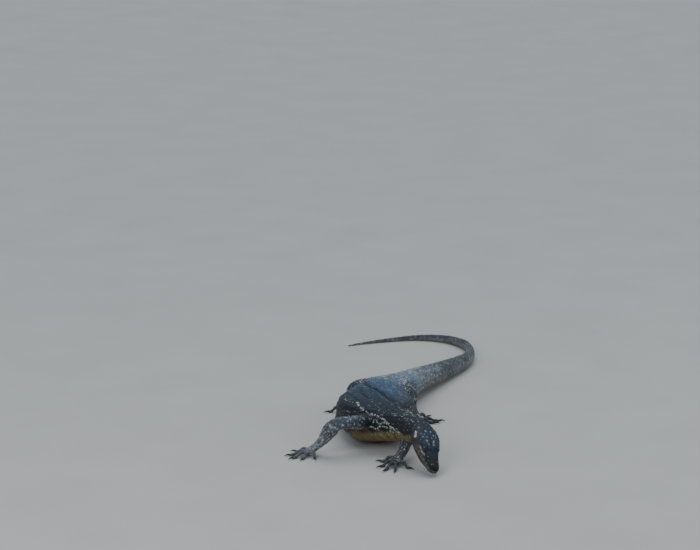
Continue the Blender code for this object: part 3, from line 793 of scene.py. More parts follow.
def sculpt(mesh, body, limbs):
    """Moves the skin's points into the folds, ridges, muscles and openings."""
    points, out = coordinates(mesh), normals(mesh)
    own = Owners(points, body, limbs)
    push = np.where(own.on_body & (own.far < HEAD_END + 0.03), head_push(own), 0.0)
    push += crease_push(points, body, own)
    push += own.on_body * body_push(points, own)
    for opening, reach in opening_reaches(own, body):
        depth, rim = opening[4:]
        push -= depth * (1 - smoothstep(0.45, 1.05, reach))
        push += rim * bell(reach, 1.35, 0.30)
    for _, tube, toes, first in numbered(limbs):
        push += np.where(own.owner == first, limb_push(points, own, tube, LIMB_SEED + first // 6), 0)
        for k, toe in enumerate(toes):
            push += np.where(own.owner == first + 1 + k, toe_push(own, toe), 0)
    points += out * push[:, None]
    shape_eyes(points, body)
    points[:, 2] = np.maximum(points[:, 2], COAT_DEPTH * 0.5)
    move_points(mesh, points)


def subdivide(mesh, chosen):
    """Cuts each edge between two chosen points once."""
    bm = bmesh.new()
    bm.from_mesh(mesh)
    inside = set(np.nonzero(chosen)[0].tolist())
    edges = [e for e in bm.edges if e.verts[0].index in inside and e.verts[1].index in inside]
    bmesh.ops.subdivide_edges(bm, edges=edges, cuts=1, use_grid_fill=True)
    bm.to_mesh(mesh)
    bm.free()


def refine_head(mesh, body):
    """Finer faces on the head, finest round the eyes, with their points on the head's own form."""
    points = coordinates(mesh)
    far, _, _ = body.read(points)
    on_head = (far < HEAD_END) & (points[:, 1] < HEAD_HIND) & (np.abs(points[:, 0] - 0.07) < 0.05)
    on_head &= np.linalg.norm(points - body.at(far)[0], axis=1) < 0.034
    subdivide(mesh, on_head)
    points = coordinates(mesh)
    middles = [eye_frame(body, mirrored)[0] for mirrored in SIDES]
    subdivide(mesh, np.min([np.linalg.norm(points - m, axis=1) for m in middles], 0) < 0.0085)
    points = coordinates(mesh)
    far, aside, above = body.read(points)
    on_head = (far > 0.0025) & (far < HEAD_END) & (points[:, 1] < HEAD_HIND)
    on_head &= np.abs(body.fullness(far, aside, above) - 1) < 0.15
    far, aside, above = far[on_head], aside[on_head], above[on_head]
    width, high, low, squareness, _ = eased(SECTIONS, far).T
    width, tall = inset(width), np.where(above > 0, inset(high), inset(low))
    x, y = np.abs(aside) / width, np.abs(above) / tall
    angle = np.arctan2(np.sign(above) * y ** (squareness / 2), np.sign(aside) * x ** (squareness / 2))
    points[on_head] = body.skin(far, angle)
    move_points(mesh, points)


def thinned(mesh, triangles):
    """The same shape in at most this many triangles, closer where it curves."""
    obj = linked("thin", mesh)
    whole = sum(len(p.vertices) - 2 for p in mesh.polygons)
    modifier = obj.modifiers.new("thin", "DECIMATE")
    modifier.ratio, modifier.use_collapse_triangulate = min(1.0, triangles / whole), True
    return evaluated(obj)


def make_skin(body, limbs):
    mesh = remeshed(joined_tubes(body, limbs), SKIN_VOXEL)
    own = Owners(coordinates(mesh), body, limbs)
    mesh = smoothed(mesh, own.join, FAIR_STEPS)
    refine_head(mesh, body)
    sculpt(mesh, body, limbs)
    mesh = thinned(mesh, SKIN_TRIANGLES)
    mesh.shade_smooth()
    return mesh


# ---------------------------------------------------------------- markings
# Rows of pale spots on the body: from, to, row gap, gap round the row, radius, strength.
SPOT_ROWS = (
    (0.012, 0.044, 0.0062, 0.0058, 0.0008, 0.30),
    (0.094, 0.235, 0.0092, 0.0085, 0.0013, 0.42),
    (0.240, 0.330, 0.0160, 0.0120, 0.0014, 0.30),
    (0.335, 0.430, 0.0090, 0.0080, 0.0014, 0.36),
    (0.432, 0.640, 0.0062, 0.0054, 0.0015, 0.62),
    (0.645, 0.920, 0.0072, 0.0052, 0.0015, 0.36),
    (0.925, 1.190, 0.0100, 0.0048, 0.0014, 0.34),
)
LIMB_SPOTS = (0.0039, 0.0036, 0.0012, 0.62)  # the same from row gap to strength
# Single spots on both sides of the head: distance, rise, radius, strength.
HEAD_SPOTS = (
    (0.087, 52, 0.0016, 0.50), (0.078, 82, 0.0020, 0.72), (0.073, 57, 0.0016, 0.45),
    (0.071, 74, 0.0018, 0.66), (0.066, 63, 0.0017, 0.55), (0.0655, 85, 0.0013, 0.42),
    (0.059, 77, 0.0018, 0.62), (0.056, 79, 0.0017, 0.66), (0.0515, 83, 0.0018, 0.70),
    (0.045, 54, 0.0012, 0.45), (0.083, 68, 0.0011, 0.34), (0.062, 48, 0.0011, 0.34),
)
# Chains of spots: gap, radius, strength, the sides that have it, and its course as distance and rise.
SPOT_CHAINS = (
    (0.0050, 0.0018, 1.20, "right", ((0.262, 59), (0.252, 56), (0.240, 52), (0.221, 43), (0.204, 40))),
    (
        0.0048, 0.0019, 1.20, "both",
        ((0.198, 39), (0.190, 38), (0.174, 22), (0.164, 5), (0.151, -10), (0.134, -28)),
    ),
    (0.0056, 0.0018, 1.20, "both", ((0.204, 4), (0.191, -5), (0.177, -2), (0.168, -6), (0.156, -20))),
    (
        0.0080, 0.0013, 1.0, "both",
        ((0.216, 26), (0.200, 20), (0.184, 10), (0.172, 8), (0.158, -4), (0.140, -14)),
    ),
    (0.0084, 0.0013, 0.9, "both", ((0.205, 28), (0.188, 18), (0.176, -8), (0.164, -20), (0.150, -24))),
    (0.0100, 0.0016, 0.65, "both", ((0.300, 44), (0.287, 48), (0.270, 51))),
    (0.0085, 0.0016, 0.8, "both", ((0.262, 20), (0.250, 24), (0.236, 30))),
    (0.0080, 0.0016, 0.75, "both", ((0.186, 60), (0.171, 66), (0.150, 58), (0.124, 50), (0.100, 40))),
    (0.0100, 0.0018, 0.8, "both", ((0.430, 66), (0.470, 58), (0.520, 52), (0.580, 46), (0.640, 40))),
    (0.0020, 0.0020, 1.4, "both", ((0.080, 31), (0.0745, 25), (0.0695, 20))),  # white bar behind the eye
)
SPOT_SEED = 11
SPOT_SHARE = 0.78  # of the places in the rows, how many have a spot
# Where the belly's colour starts: distance, rise.
BELLY_EDGE = (
    (0.00, -52), (0.08, -40), (0.12, -28), (0.16, -14), (0.20, -8), (0.26, -14), (0.31, -24),
    (0.40, -34), (0.55, -40), (0.70, -34), (1.20, -30),
)
BELLY_BLEND = 16.0  # degrees over which it comes in
TAIL_BELLY = 0.45  # how much less of it the tail has
LIMB_BELLY = 0.60  # how much of it the undersides of the limbs have
JAW_BELLY = 0.16
# How pale the lips, the lower jaw, the tail's underside and the toes are, and how much more on a toe's bands.
PALE_LIP, PALE_JAW, PALE_TAIL, PALE_TOE, PALE_BAND = 0.20, 0.14, 0.24, 0.03, 0.08
LIP_BAR, THROAT_BAR, TOE_BANDS = 0.0085, 0.017, 3.5  # length of a bar, and how many bands a toe has
# How dark the throat's and the belly's bars are, and how dark the painted shade in the creases is.
DARK_THROAT, DARK_BELLY, CREASE_PAINTED_SHADE = 0.40, 0.30, 0.78
CREASE_SHADE_FULL = 0.0018  # a crease this deep gets the darkest painted shade
# How light the ground colour is along the body, and how blue it is: both partly the hide's own colour and
# partly painted sky sheen, lightest where a painted sky highlight lies over the loins.
BODY_LIGHT_AND_SKY_SHEEN = (
    (0.00, 0.36), (0.03, 0.62), (0.06, 1.45), (0.10, 0.75), (0.16, 0.52), (0.22, 0.66), (0.27, 0.90),
    (0.31, 1.55), (0.36, 2.15), (0.42, 2.80), (0.48, 4.20), (0.54, 5.90), (0.60, 5.00), (0.68, 2.80),
    (0.80, 3.70), (0.95, 3.20), (1.21, 3.00),
)
BODY_BLUE_AND_SKY_SHEEN = (
    (0.00, 0.20), (0.04, 0.75), (0.12, 1.00), (0.36, 1.00), (0.46, 0.54), (0.52, 0.29), (0.60, 0.25),
    (0.72, 0.16), (1.21, 0.08),
)
FLANK_PAINTED_SHADE = 0.36  # painted shade: how light the flank is against the back, darkened on the side that turns from the light
TAIL_UNDER_LIGHT = 1.6  # how light the tail's lower edge is against its upper one
HIND_PAINTED_HIGHLIGHT = 1.45  # painted sky highlight: how light the loins and hips are, behind the back fold, against the back
# The same along an arm and a leg, from the girdle to the knuckles: place, lightness, blueness.
LIMB_GROUND = {
    "hand": (
        (0.3, 0.7, 0.5), (0.6, 2.4, 0.45), (0.9, 3.4, 0.4),
        (1.4, 3.3, 0.15), (2.2, 5.8, 0.25), (3.0, 5.4, 0.15),
    ),
    "foot": (
        (0.3, 5.4, 0.5), (0.7, 4.2, 0.5), (1.0, 2.8, 0.5),
        (1.5, 1.7, 0.3), (2.2, 2.4, 0.3), (3.0, 2.6, 0.2),
    ),
}
LEFT_ARM_PAINTED_SHADE = 0.40  # painted shade: the arm under the chin and neck is darkened
TOE_TIP_DARKER = 0.50
LIGHTEST = 9.0  # the ground's lightness that is stored as 1
# Marks of the face and neck: distance, rise, half length, half height, pale, warm.
FACE_MARKS = (
    (0.0710, 21, 0.0030, 0.0018, 1.00, 0.0),  # foot of the white bar behind the eye
    (0.0505, 9, 0.0030, 0.0022, 0.10, 0.75),  # orange corner of the mouth
    (0.0560, -4, 0.0032, 0.0022, 0.10, 0.60),
    (0.0480, 22, 0.0036, 0.0014, 0.80, 0.0),  # pale streak under the eye, rising in front of it
    (0.0415, 18, 0.0040, 0.0015, 0.85, 0.0),
    (0.0355, 26, 0.0032, 0.0015, 0.75, 0.0),
    (0.1130, -44, 0.0060, 0.0050, 0.00, 0.40),  # brown blot of the throat
)


ROUND_STEPS = 181


def ring_places(tube, start, end, pitch, row_share=0.86):
    """Staggered rings of places round a tube: distance, angle and width of each."""
    angle = np.linspace(0, 2 * math.pi, ROUND_STEPS)
    far, number, found = start, 0, []
    while far < end:
        width = pitch(far)
        ring = tube.skin(np.full(ROUND_STEPS, far), angle)
        around = np.concatenate([[0.0], np.cumsum(np.linalg.norm(np.diff(ring, axis=0), axis=1))])
        count = max(5, round(around[-1] / width))
        at = (np.arange(count) + 0.5 * (number % 2)) / count * around[-1]
        gap = np.full(count, around[-1] / count)
        found.append(np.column_stack([np.full(count, far), np.interp(at, around, angle), gap]))
        far += row_share * width
        number += 1
    return np.vstack(found)


class Spots:
    """Pale spots over the body and limbs, and how much of one a point has."""

    def __init__(self, mesh, body, limbs):
        self.random = np.random.default_rng(SPOT_SEED)
        self.lines, self.sizes = [], []
        for start, end, row_gap, gap, radius, strength in SPOT_ROWS:
            rows = ring_places(body, start, end, lambda far: gap, row_gap / gap)
            self.scatter(body, rows, gap, radius, strength)
        row_gap, gap, radius, strength = LIMB_SPOTS
        for tube, _ in limbs.values():
            rows = ring_places(tube, 0.2 * tube.length, 0.96 * tube.length, lambda far: gap, row_gap / gap)
            self.scatter(tube, rows, gap, radius, strength)
        singles = [(1.0, *size, "both", ((far, rise),)) for far, rise, *size in HEAD_SPOTS]
        for mirrored in SIDES:
            for gap, radius, strength, sides, course in (*SPOT_CHAINS, *singles):
                if mirrored in sides_of(sides):
                    self.chain(body, mirrored, course, gap, radius, strength)
        skin = point_tree(coordinates(mesh))
        self.tree = point_tree([skin.find(middle)[0][:] for middle in np.vstack(self.lines)])
        self.sizes = np.vstack(self.sizes)

    def keep(self, middles, radius, strengths, spread):
        """Keeps spots with these middles and strengths, of about this radius."""
        self.lines.append(middles)
        size = radius * np.exp(self.random.normal(0, spread, len(middles)))
        self.sizes.append(np.column_stack([size, strengths(len(middles))]))

    def chain(self, body, mirrored, course, gap, radius, strength):
        far, rise = np.array(course, float).T
        line = body.skin(far, turned(rise, mirrored))
        if len(course) > 1:
            line = through(line, 200)
            length = np.linalg.norm(np.diff(line, axis=0), axis=1).sum()
            line = evenly(line, max(2, round(length / gap)))
            line = line + self.random.normal(0, 0.13 * gap, line.shape)
        self.keep(line, radius, lambda count: strength * self.random.uniform(0.75, 1.1, count), 0.22)

    def scatter(self, tube, rows, gap, radius, strength):
        rows = rows[self.random.random(len(rows)) < SPOT_SHARE]
        far = rows[:, 0] + self.random.normal(0, 0.20 * gap, len(rows))
        angle = rows[:, 1] + self.random.normal(0, 0.16, len(rows))
        middles = tube.skin(far, angle)
        self.keep(middles, radius, lambda count: strength * self.random.uniform(0.30, 1.45, count), 0.40)

    def paleness(self, points):
        found = [self.tree.find(point)[1:] for point in points]
        index = np.array([f[0] for f in found])
        away = np.array([f[1] for f in found])
        ragged = 1 + 0.35 * ripples(points, 0.0035, 21)
        return (1 - smoothstep(0.55, 1.15, away / (self.sizes[index, 0] * ragged))) * self.sizes[index, 1]


def belly_share(points, own, limbs, under):
    """How much of the belly's colour each point has."""
    belly = np.where(own.on_body, under, 0.0)
    for _, tube, _, first in numbered(limbs):
        mine = own.owner == first
        drop = tube.at(own.far[mine])[0][:, 2] - points[mine, 2]
        lower = smoothstep(0.15, 0.85, drop / np.maximum(np.hypot(own.aside[mine], own.above[mine]), 1e-5))
        belly[mine] = LIMB_BELLY * lower * (1 - smoothstep(0.66, 0.80, own.far[mine] / tube.length))
    return belly


def toe_bands(own, limbs):
    """1 on a toe's pale bands and 0 between them."""
    share = np.zeros(len(own.far))
    for _, _, toes, first in numbered(limbs):
        for k, toe in enumerate(toes):
            mine = own.owner == first + 1 + k
            share[mine] = own.far[mine] / toe.length
    return 0.5 + 0.5 * np.cos(2 * math.pi * share * TOE_BANDS)


def markings(points, own, body, limbs, spots):
    """Red: pale, green: belly, blue: dark bars and painted shade in the creases, nostrils and ears, alpha:
    warm, for each point.
    """
    wavy = ripples(points, 0.020, 31)
    edge = np.interp(own.far, *np.array(BELLY_EDGE).T)
    under = 1 - smoothstep(edge - BELLY_BLEND, edge, own.rise + 6 * wavy)
    belly = belly_share(points, own, limbs, under)
    on_tail = own.on_body * smoothstep(0.56, 0.66, own.far)
    pale = np.maximum(spots.paleness(points), PALE_TAIL * under * on_tail)
    belly *= 1 - TAIL_BELLY * on_tail
    jaw = own.on_body * (1 - smoothstep(MOUTH_CORNER - 0.004, MOUTH_CORNER + 0.010, own.far))
    over_mouth = own.above - MOUTH_HEIGHT
    bars = 0.5 + 0.5 * np.sin(2 * math.pi * own.far / LIP_BAR + 0.8)
    lip = window(over_mouth, 0.0003, 0.0042, 0.0008) * (0.45 + 0.55 * bars)
    chin = window(over_mouth, -0.0060, -0.0002, 0.0010) * (0.65 + 0.35 * bars)
    pale = np.max([pale, jaw * PALE_LIP * lip, jaw * PALE_JAW * chin], 0)
    belly = np.where(jaw * (over_mouth < 0) > 0, np.maximum(belly, JAW_BELLY * jaw), belly)
    bars = smoothstep(0.1, 0.7, np.sin(2 * math.pi * own.far / THROAT_BAR + 1.2 * wavy)) * own.on_body
    dark = DARK_THROAT * bars * (own.far < 0.21) * bell(own.rise, -48, 22)
    dark += DARK_BELLY * bars * (own.far > 0.25) * bell(own.rise, -34, 12)
    # painted shade in the creases, darker the deeper they are
    crease = np.clip(-crease_push(points, body, own) / CREASE_SHADE_FULL, 0, 1)
    dark = np.maximum(dark, CREASE_PAINTED_SHADE * crease)
    pale *= np.where(own.on_body, smoothstep(-58, -30, own.rise), 1)
    warm = np.zeros(len(points))
    for far, height, half_length, half_height, paler, warmer in FACE_MARKS:
        for mirrored in SIDES:
            away = round_from(own, body, far, height, mirrored)
            mark = np.exp(-(((own.far - far) / half_length) ** 2) - (away / half_height) ** 2) * own.on_body
            pale = np.maximum(pale, mark * paler)
            warm = np.maximum(warm, mark * warmer)
    pale = np.where(own.on_toe, PALE_TOE + PALE_BAND * toe_bands(own, limbs), pale)
    # painted shade inside the nostrils and ears
    for _, reach in opening_reaches(own, body):
        dark = np.maximum(dark, 1 - smoothstep(0.7, 1.15, reach))
    return np.column_stack([np.clip(pale, 0, 1), belly, dark, warm])


def behind_fold(own):
    """1 on the back behind its long fold and 0 ahead of it, where the loins' painted sky highlight goes."""
    far, rise = np.array(CREASES["back fold"][3]).T
    order = np.argsort(rise)
    turn = 180 - np.degrees(np.arctan2(own.above, own.aside))
    fold = np.interp(turn, rise[order], far[order])
    return smoothstep(0.0, 0.025, own.far - fold) * (own.above > 0)


def ground_and_painted_light(own, limbs):
    """Red: how light the ground colour is, with painted shade on the flanks and the left arm and a painted
    sky highlight on the back and loins; green: how blue, partly a painted sky reflection; for each point.
    """
    # lightness along the body: partly the hide's own, partly painted sky sheen and highlight
    light = np.interp(own.far, *np.array(BODY_LIGHT_AND_SKY_SHEEN).T)
    # a painted sky highlight on the loins and hips behind the back fold
    light *= 1 + (HIND_PAINTED_HIGHLIGHT - 1) * behind_fold(own) * (1 - smoothstep(0.50, 0.62, own.far))
    # painted shade on the flank, which turns down and away from the light
    flank = (1 - smoothstep(0, 48, own.rise)) * window(own.far, 0.20, 0.52, 0.06)
    light *= 1 + (FLANK_PAINTED_SHADE - 1) * flank
    tail_under = smoothstep(0.60, 0.68, own.far) * (1 - smoothstep(-5, 45, own.rise))
    light *= 1 + (TAIL_UNDER_LIGHT - 1) * tail_under
    # bluer towards the back: partly the back's own slate, partly a painted blue sky reflection on the upper
    # surfaces
    blue = np.interp(own.far, *np.array(BODY_BLUE_AND_SKY_SHEEN).T) * smoothstep(-10, 55, own.rise)
    for name, tube, toes, first in numbered(limbs):
        mine = own.owner == first
        place = np.interp(own.far[mine], tube.joints, range(4))
        # painted shade over the whole left arm and its toes, which lie under the chin
        shade = LEFT_ARM_PAINTED_SHADE if name == "left_hand" else 1.0
        at, lights, blues = np.array(LIMB_GROUND[name.split("_")[1]]).T
        light[mine] = np.interp(place, at, lights) * shade
        blue[mine] = np.interp(place, at, blues)
        for k, toe in enumerate(toes):
            mine = own.owner == first + 1 + k
            light[mine] = lights[-1] * shade * (1 - TOE_TIP_DARKER * own.far[mine] / toe.length)
            blue[mine] = blues[-1]
    return np.column_stack([light / LIGHTEST, blue, 0 * blue, 1 + 0 * blue])


# ---------------------------------------------------------------- the coat of scales
# The scales' size along the body, along a limb (as in its sections) and on the toes.
BODY_PITCH = (
    (0.00, 0.0012), (0.03, 0.0015), (0.06, 0.0017), (0.10, 0.0020), (0.18, 0.0023), (0.25, 0.0027),
    (0.45, 0.0027), (0.55, 0.0025), (0.80, 0.0022), (1.00, 0.0018), (1.21, 0.0012),
)
LIMB_PITCH = ((0.0, 0.0024), (1.0, 0.0021), (2.0, 0.0017), (3.0, 0.0015))
JOIN_PITCH = 0.0018  # where a limb meets the body
TOE_PITCH = 0.0014
COAT_PIECES = (
    ("head_scales", 0.0, 0.092), ("neck_scales", 0.092, 0.190), ("shoulder_scales", 0.190, 0.290),
    ("rib_scales", 0.290, 0.375), ("loin_scales", 0.375, 0.535), ("tail_root_scales", 0.535, 0.745),
    ("tail_whip_scales", 0.745, BODY_END + 0.1),
)
BEAD, PLATE, KEELED = 0, 1, 2
# For each kind: the radius of its lid, how far the lid's middle rises, and how far back that middle lies.
SCALE_KINDS = ((0.34, 0.22, 0.0), (0.43, 0.03, 0.0), (0.33, 0.30, 0.16))
SCALE_LIFT = 0.1  # most of a scale stands over the skin
RELIEF_SHADE = (0.0, 0.75, 1.0)  # painted shade: how light the foot, the rim and the middle of a scale are, darkest at the foot between the scales
# Rows of plates along the head: from, to, gap, rise, width, length.
HEAD_PLATES = (
    (0.0355, 0.0575, 0.0026, 74, 0.0029, 0.0024),  # over the brows
    (0.0330, 0.0620, 0.0021, 54, 0.0017, 0.0022),  # along their edges
    (0.0140, 0.0330, 0.0021, 42, 0.0018, 0.0023),  # from the nostrils to the brows
)
LIP_GAP, LIP_ROWS = 0.0021, (0.0014, -0.0015)  # and how far the lips' two rows lie above the mouth
LID_BEADS = 24
CROWN_SPREAD = 34  # degrees from the middle of the back to the edge of the head's plates
CREST_GAP, CREST_SPREAD, CREST_WIDTH = 0.0027, 13, 0.0023
BELLY_PLATES = (212, 328)  # the turn round the body, in degrees, that has plates
KEELS_START = 0.56
UV_PATCH = 0.003


def scale_shape(kind):
    """One closed scale, a unit across and high: a low dome, a flat plate or a keeled one."""
    top, rise, back = SCALE_KINDS[kind]
    bm = bmesh.new()
    bmesh.ops.create_cone(bm, cap_ends=True, segments=6, radius1=0.5, radius2=top, depth=0.8)
    bmesh.ops.rotate(bm, verts=bm.verts, cent=(0, 0, 0), matrix=Matrix.Rotation(math.radians(30), 3, "Z"))
    lid = max(bm.faces, key=lambda face: face.calc_center_median().z)
    middle = bmesh.ops.poke(bm, faces=[lid])["verts"][0]
    middle.co += Vector((0.0, back, rise))
    bmesh.ops.triangulate(bm, faces=[face for face in bm.faces if len(face.verts) > 3])
    bmesh.ops.recalc_face_normals(bm, faces=bm.faces)
    bm.verts.ensure_lookup_table()
    points = np.array([v.co[:] for v in bm.verts])
    points[:, :2] *= 0.5 / np.abs(points[:, :2]).max(0)
    foot, rim, peak = RELIEF_SHADE
    relief_shade = np.array([peak if v.co.z > 0.42 else rim if v.co.z > 0 else foot for v in bm.verts])
    faces = np.array([[v.index for v in face.verts] for face in bm.faces])
    bm.free()
    points[:, 2] += SCALE_LIFT
    return points, faces, relief_shade


WIDTH, LENGTH, HEIGHT, KIND = 9, 10, 11, 12  # the last columns of a scale's row


class Coat:
    """Scales as they are placed on the skin, each clear of those before it."""

    def __init__(self, mesh):
        self.corners = np.empty(3 * len(mesh.polygons), int)
        mesh.polygons.foreach_get("vertices", self.corners)
        self.corners = self.corners.reshape(-1, 3)
        self.normals = normals(mesh)
        self.tree = BVHTree.FromPolygons(coordinates(mesh).tolist(), self.corners.tolist())
        self.rows = np.empty((0, 13))  # root, out, ahead, width, length, height, kind

    def add(self, places, ahead, width, length, height, kind, reach=0.004, clear=0.80):
        """Sets scales at the skin nearest these places, but none too close to another or too far off."""
        found = [self.tree.find_nearest(place) for place in places]
        away = np.array([f[3] for f in found])
        roots = np.array([f[0][:] for f in found])
        outs = unit(self.normals[self.corners[[f[2] for f in found]]].mean(1))
        ahead = unit(ahead - outs * (ahead * outs).sum(1, keepdims=True))
        keep = away < reach
        old = self.rows
        before, among = point_tree(old[:, :3]), point_tree(roots)
        for k in np.nonzero(keep)[0]:
            if len(old):
                _, other, apart = before.find(roots[k])
                sizes = min(width[k], length[k]) + min(old[other, WIDTH], old[other, LENGTH])
                if apart < clear * 0.5 * sizes:
                    keep[k] = False
                    continue
            for _, other, apart in among.find_n(roots[k], 3):
                if other < k and keep[other] and apart < 0.62 * width[k]:
                    keep[k] = False
        made = np.column_stack([roots, outs, ahead, width, length, height, kind])
        self.rows = np.vstack([old, made[keep]])


def tube_coat(coat, tube, rows, kind, flatness=0.30):
    """Rows of scales round a tube."""
    far, angle, width = rows.T
    ahead = tube.at(far)[1]
    width = width * 0.96
    coat.add(tube.skin(far, angle), ahead, width, width * 1.16, width * flatness, kind)


def lip_rise(far, above):
    """The rise of a place on the head that lies this much above the body's line."""
    _, high, low, squareness, _ = eased(SECTIONS, [far])[0]
    share = np.clip(abs(above) / (high if above > 0 else low), 0, 1) ** (squareness / 2)
    return math.degrees(math.asin(share)) * np.sign(above)


def head_coat(coat, body):
    """The larger scales of the head: lips, brows, lids and crown."""
    rows = []

    def put(mirrored, far, rise, width, length, height):
        place = body.skin(np.array([far]), np.array([turned(rise, mirrored)]))[0]
        rows.append((*place, *body.at(np.array([far]))[1][0], width, length, height, PLATE))

    for mirrored in SIDES:
        for far in np.arange(0.0036, MOUTH_CORNER - 0.001, LIP_GAP):
            for above in LIP_ROWS:
                put(mirrored, far, lip_rise(far, MOUTH_HEIGHT + above), 0.0021, 0.0022, 0.0006)
        for start, end, gap, rise, width, length in HEAD_PLATES:
            for far in np.arange(start, end, gap):
                put(mirrored, far, rise, width, length, 0.0007)
        middle, gaze, front, top = eye_frame(body, mirrored)
        for turn in np.arange(LID_BEADS) * 2 * math.pi / LID_BEADS:
            length = LID_HALF_LENGTH * 1.16 * np.sign(math.cos(turn)) * abs(math.cos(turn)) ** (2 / 1.8)
            height = (LID_ABOVE if turn < math.pi else LID_BELOW) * 1.20 * math.sin(turn)
            size = math.hypot(length, height)
            way = gaze * math.cos(size) + (front * length + top * height) / size * math.sin(size)
            spin = unit(-front * math.sin(turn) + top * math.cos(turn))
            rows.append((*(middle + 1.12 * EYE_RADIUS * way), *spin, 0.0009, 0.0012, 0.0006, BEAD))
    rows = np.array(rows)
    coat.add(rows[:, :3], rows[:, 3:6], *rows[:, 6:].T, reach=0.003, clear=0.55)
    crown = ring_places(body, 0.003, 0.088, lambda far: 0.0015 + 0.0006 * window(far, 0.012, 0.075, 0.012))
    crown = crown[np.abs(np.degrees(crown[:, 1]) - 90) < CROWN_SPREAD]
    tube_coat(coat, body, crown, np.full(len(crown), PLATE), 0.26)


def spread_out(points, apart):
    """Which of these points to keep, in their order, so that each is this far from those kept before it."""
    cell, taken, kept = 0.002, {}, []
    for k, point in enumerate(points):
        home = tuple((point // cell).astype(int))
        near = (
            other
            for i in (-1, 0, 1) for j in (-1, 0, 1) for m in (-1, 0, 1)
            for other in taken.get((home[0] + i, home[1] + j, home[2] + m), ())
        )
        if all(np.abs(point - points[o]).sum() > apart[k] for o in near):
            taken.setdefault(home, []).append(k)
            kept.append(k)
    return kept


def fill_gaps(coat, mesh, body, limbs):
    """Granules where the rows of two tubes meet and leave bare skin."""
    points = coordinates(mesh)
    tree = point_tree(coat.rows[:, :3])
    own = Owners(points, body, limbs)
    width = np.where(own.on_body, np.interp(own.far, *np.array(BODY_PITCH).T), JOIN_PITCH)
    width = np.where(own.on_toe, TOE_PITCH, width) * 0.9
    apart = np.array([tree.find(point)[2] for point in points])
    chosen = np.nonzero((apart > 0.80 * width) & (apart < 0.02))[0]
    order = np.random.default_rng(5).permutation(chosen)
    kept = order[spread_out(points[order], 1.2 * 0.85 * width[order])]
    ahead = np.zeros((len(kept), 3))
    for number, tube in enumerate(own.tubes):
        mine = own.owner[kept] == number
        ahead[mine] = tube.at(own.far[kept][mine])[1]
    size = width[kept]
    coat.add(points[kept], ahead, size, size, size * 0.30, np.full(len(kept), BEAD))


def place_coat(mesh, body, limbs):
    coat = Coat(mesh)
    head_coat(coat, body)
    crest = np.array([
        (far, math.radians(90 + side), CREST_WIDTH)
        for far in np.arange(0.54, 1.19, CREST_GAP) for side in (-CREST_SPREAD, CREST_SPREAD)
    ])
    tube_coat(coat, body, crest, np.full(len(crest), KEELED), 0.62)
    rows = ring_places(body, 0.0012, BODY_END - 0.001, lambda far: np.interp(far, *np.array(BODY_PITCH).T))
    turn = np.degrees(rows[:, 1]) % 360
    under = (turn > BELLY_PLATES[0]) & (turn < BELLY_PLATES[1])
    kind = np.where(under, PLATE, np.where(rows[:, 0] > KEELS_START, KEELED, BEAD))
    tube_coat(coat, body, rows, kind)
    for tube, toes in limbs.values():
        def pitch(far):
            return np.interp(np.interp(far, tube.joints, range(4)), *np.array(LIMB_PITCH).T)

        rows = ring_places(tube, 0.12 * tube.length, tube.length, pitch)
        tube_coat(coat, tube, rows, np.full(len(rows), BEAD))
        for toe in toes:
            rows = ring_places(toe, 0.002, toe.length - 0.0005, lambda far: TOE_PITCH)
            on_top = np.sin(rows[:, 1]) > 0.55
            tube_coat(coat, toe, rows, np.where(on_top, PLATE, BEAD))
    fill_gaps(coat, mesh, body, limbs)
    return coat


def bare_places(roots, own, body):
    """Where no scale may stand: in the nostrils and ears and between the lids."""
    bare = np.min([reach for _, reach in opening_reaches(own, body)], 0) < 0.85
    for mirrored in SIDES:
        middle, gaze, front, top = eye_frame(body, mirrored)
        gap = roots - middle
        near = np.linalg.norm(gap, axis=1) < 1.6 * EYE_RADIUS
        bare |= near & (lid_reach(unit(gap), gaze, front, top) < 1.08)
    return bare


def coat_pieces(own, limbs, bare):
    """The name of each piece of the coat, the scales in it and their places on the skin's unwrap."""
    turn = np.arctan2(own.above, own.aside) / (2 * math.pi) % 1.0
    for name, start, end in COAT_PIECES:
        chosen = own.on_body & (own.far >= start) & (own.far < end) & ~bare
        yield name, chosen, np.column_stack([turn, (own.far - start) / (min(end, BODY_END) - start)])
    for name, tube, toes, first in numbered(limbs):
        place = np.column_stack([turn, 0.6 * own.far / tube.length])
        for k, toe in enumerate(toes):
            mine = own.owner == first + 1 + k
            place[mine] = np.column_stack([(k + turn[mine]) / 5, 0.62 + 0.38 * own.far[mine] / toe.length])
        yield name + "_scales", (own.owner >= first) & (own.owner <= first + len(toes)), place


def make_coat(coat, body, limbs, spots, material):
    """The scales' meshes, one for each stretch of the body and each limb, with their unwrap and markings."""
    rows = coat.rows
    roots = rows[:, :3]
    own = Owners(roots, body, limbs)
    bare = bare_places(roots, own, body)
    marks, ground = markings(roots, own, body, limbs, spots), ground_and_painted_light(own, limbs)
    tone = np.clip(np.random.default_rng(3).normal(0.5, 0.16, len(rows)), 0, 1)
    shapes = [scale_shape(kind) for kind in (BEAD, PLATE, KEELED)]
    for name, chosen, place in coat_pieces(own, limbs, bare):
        index = np.nonzero(chosen)[0]
        flat = 0.01 + 0.98 * np.clip(place[index], 0, 1)
        mesh = scales_mesh(name, rows[index], shapes, flat, marks[index], ground[index], tone[index])
        add_piece(name, mesh, material)


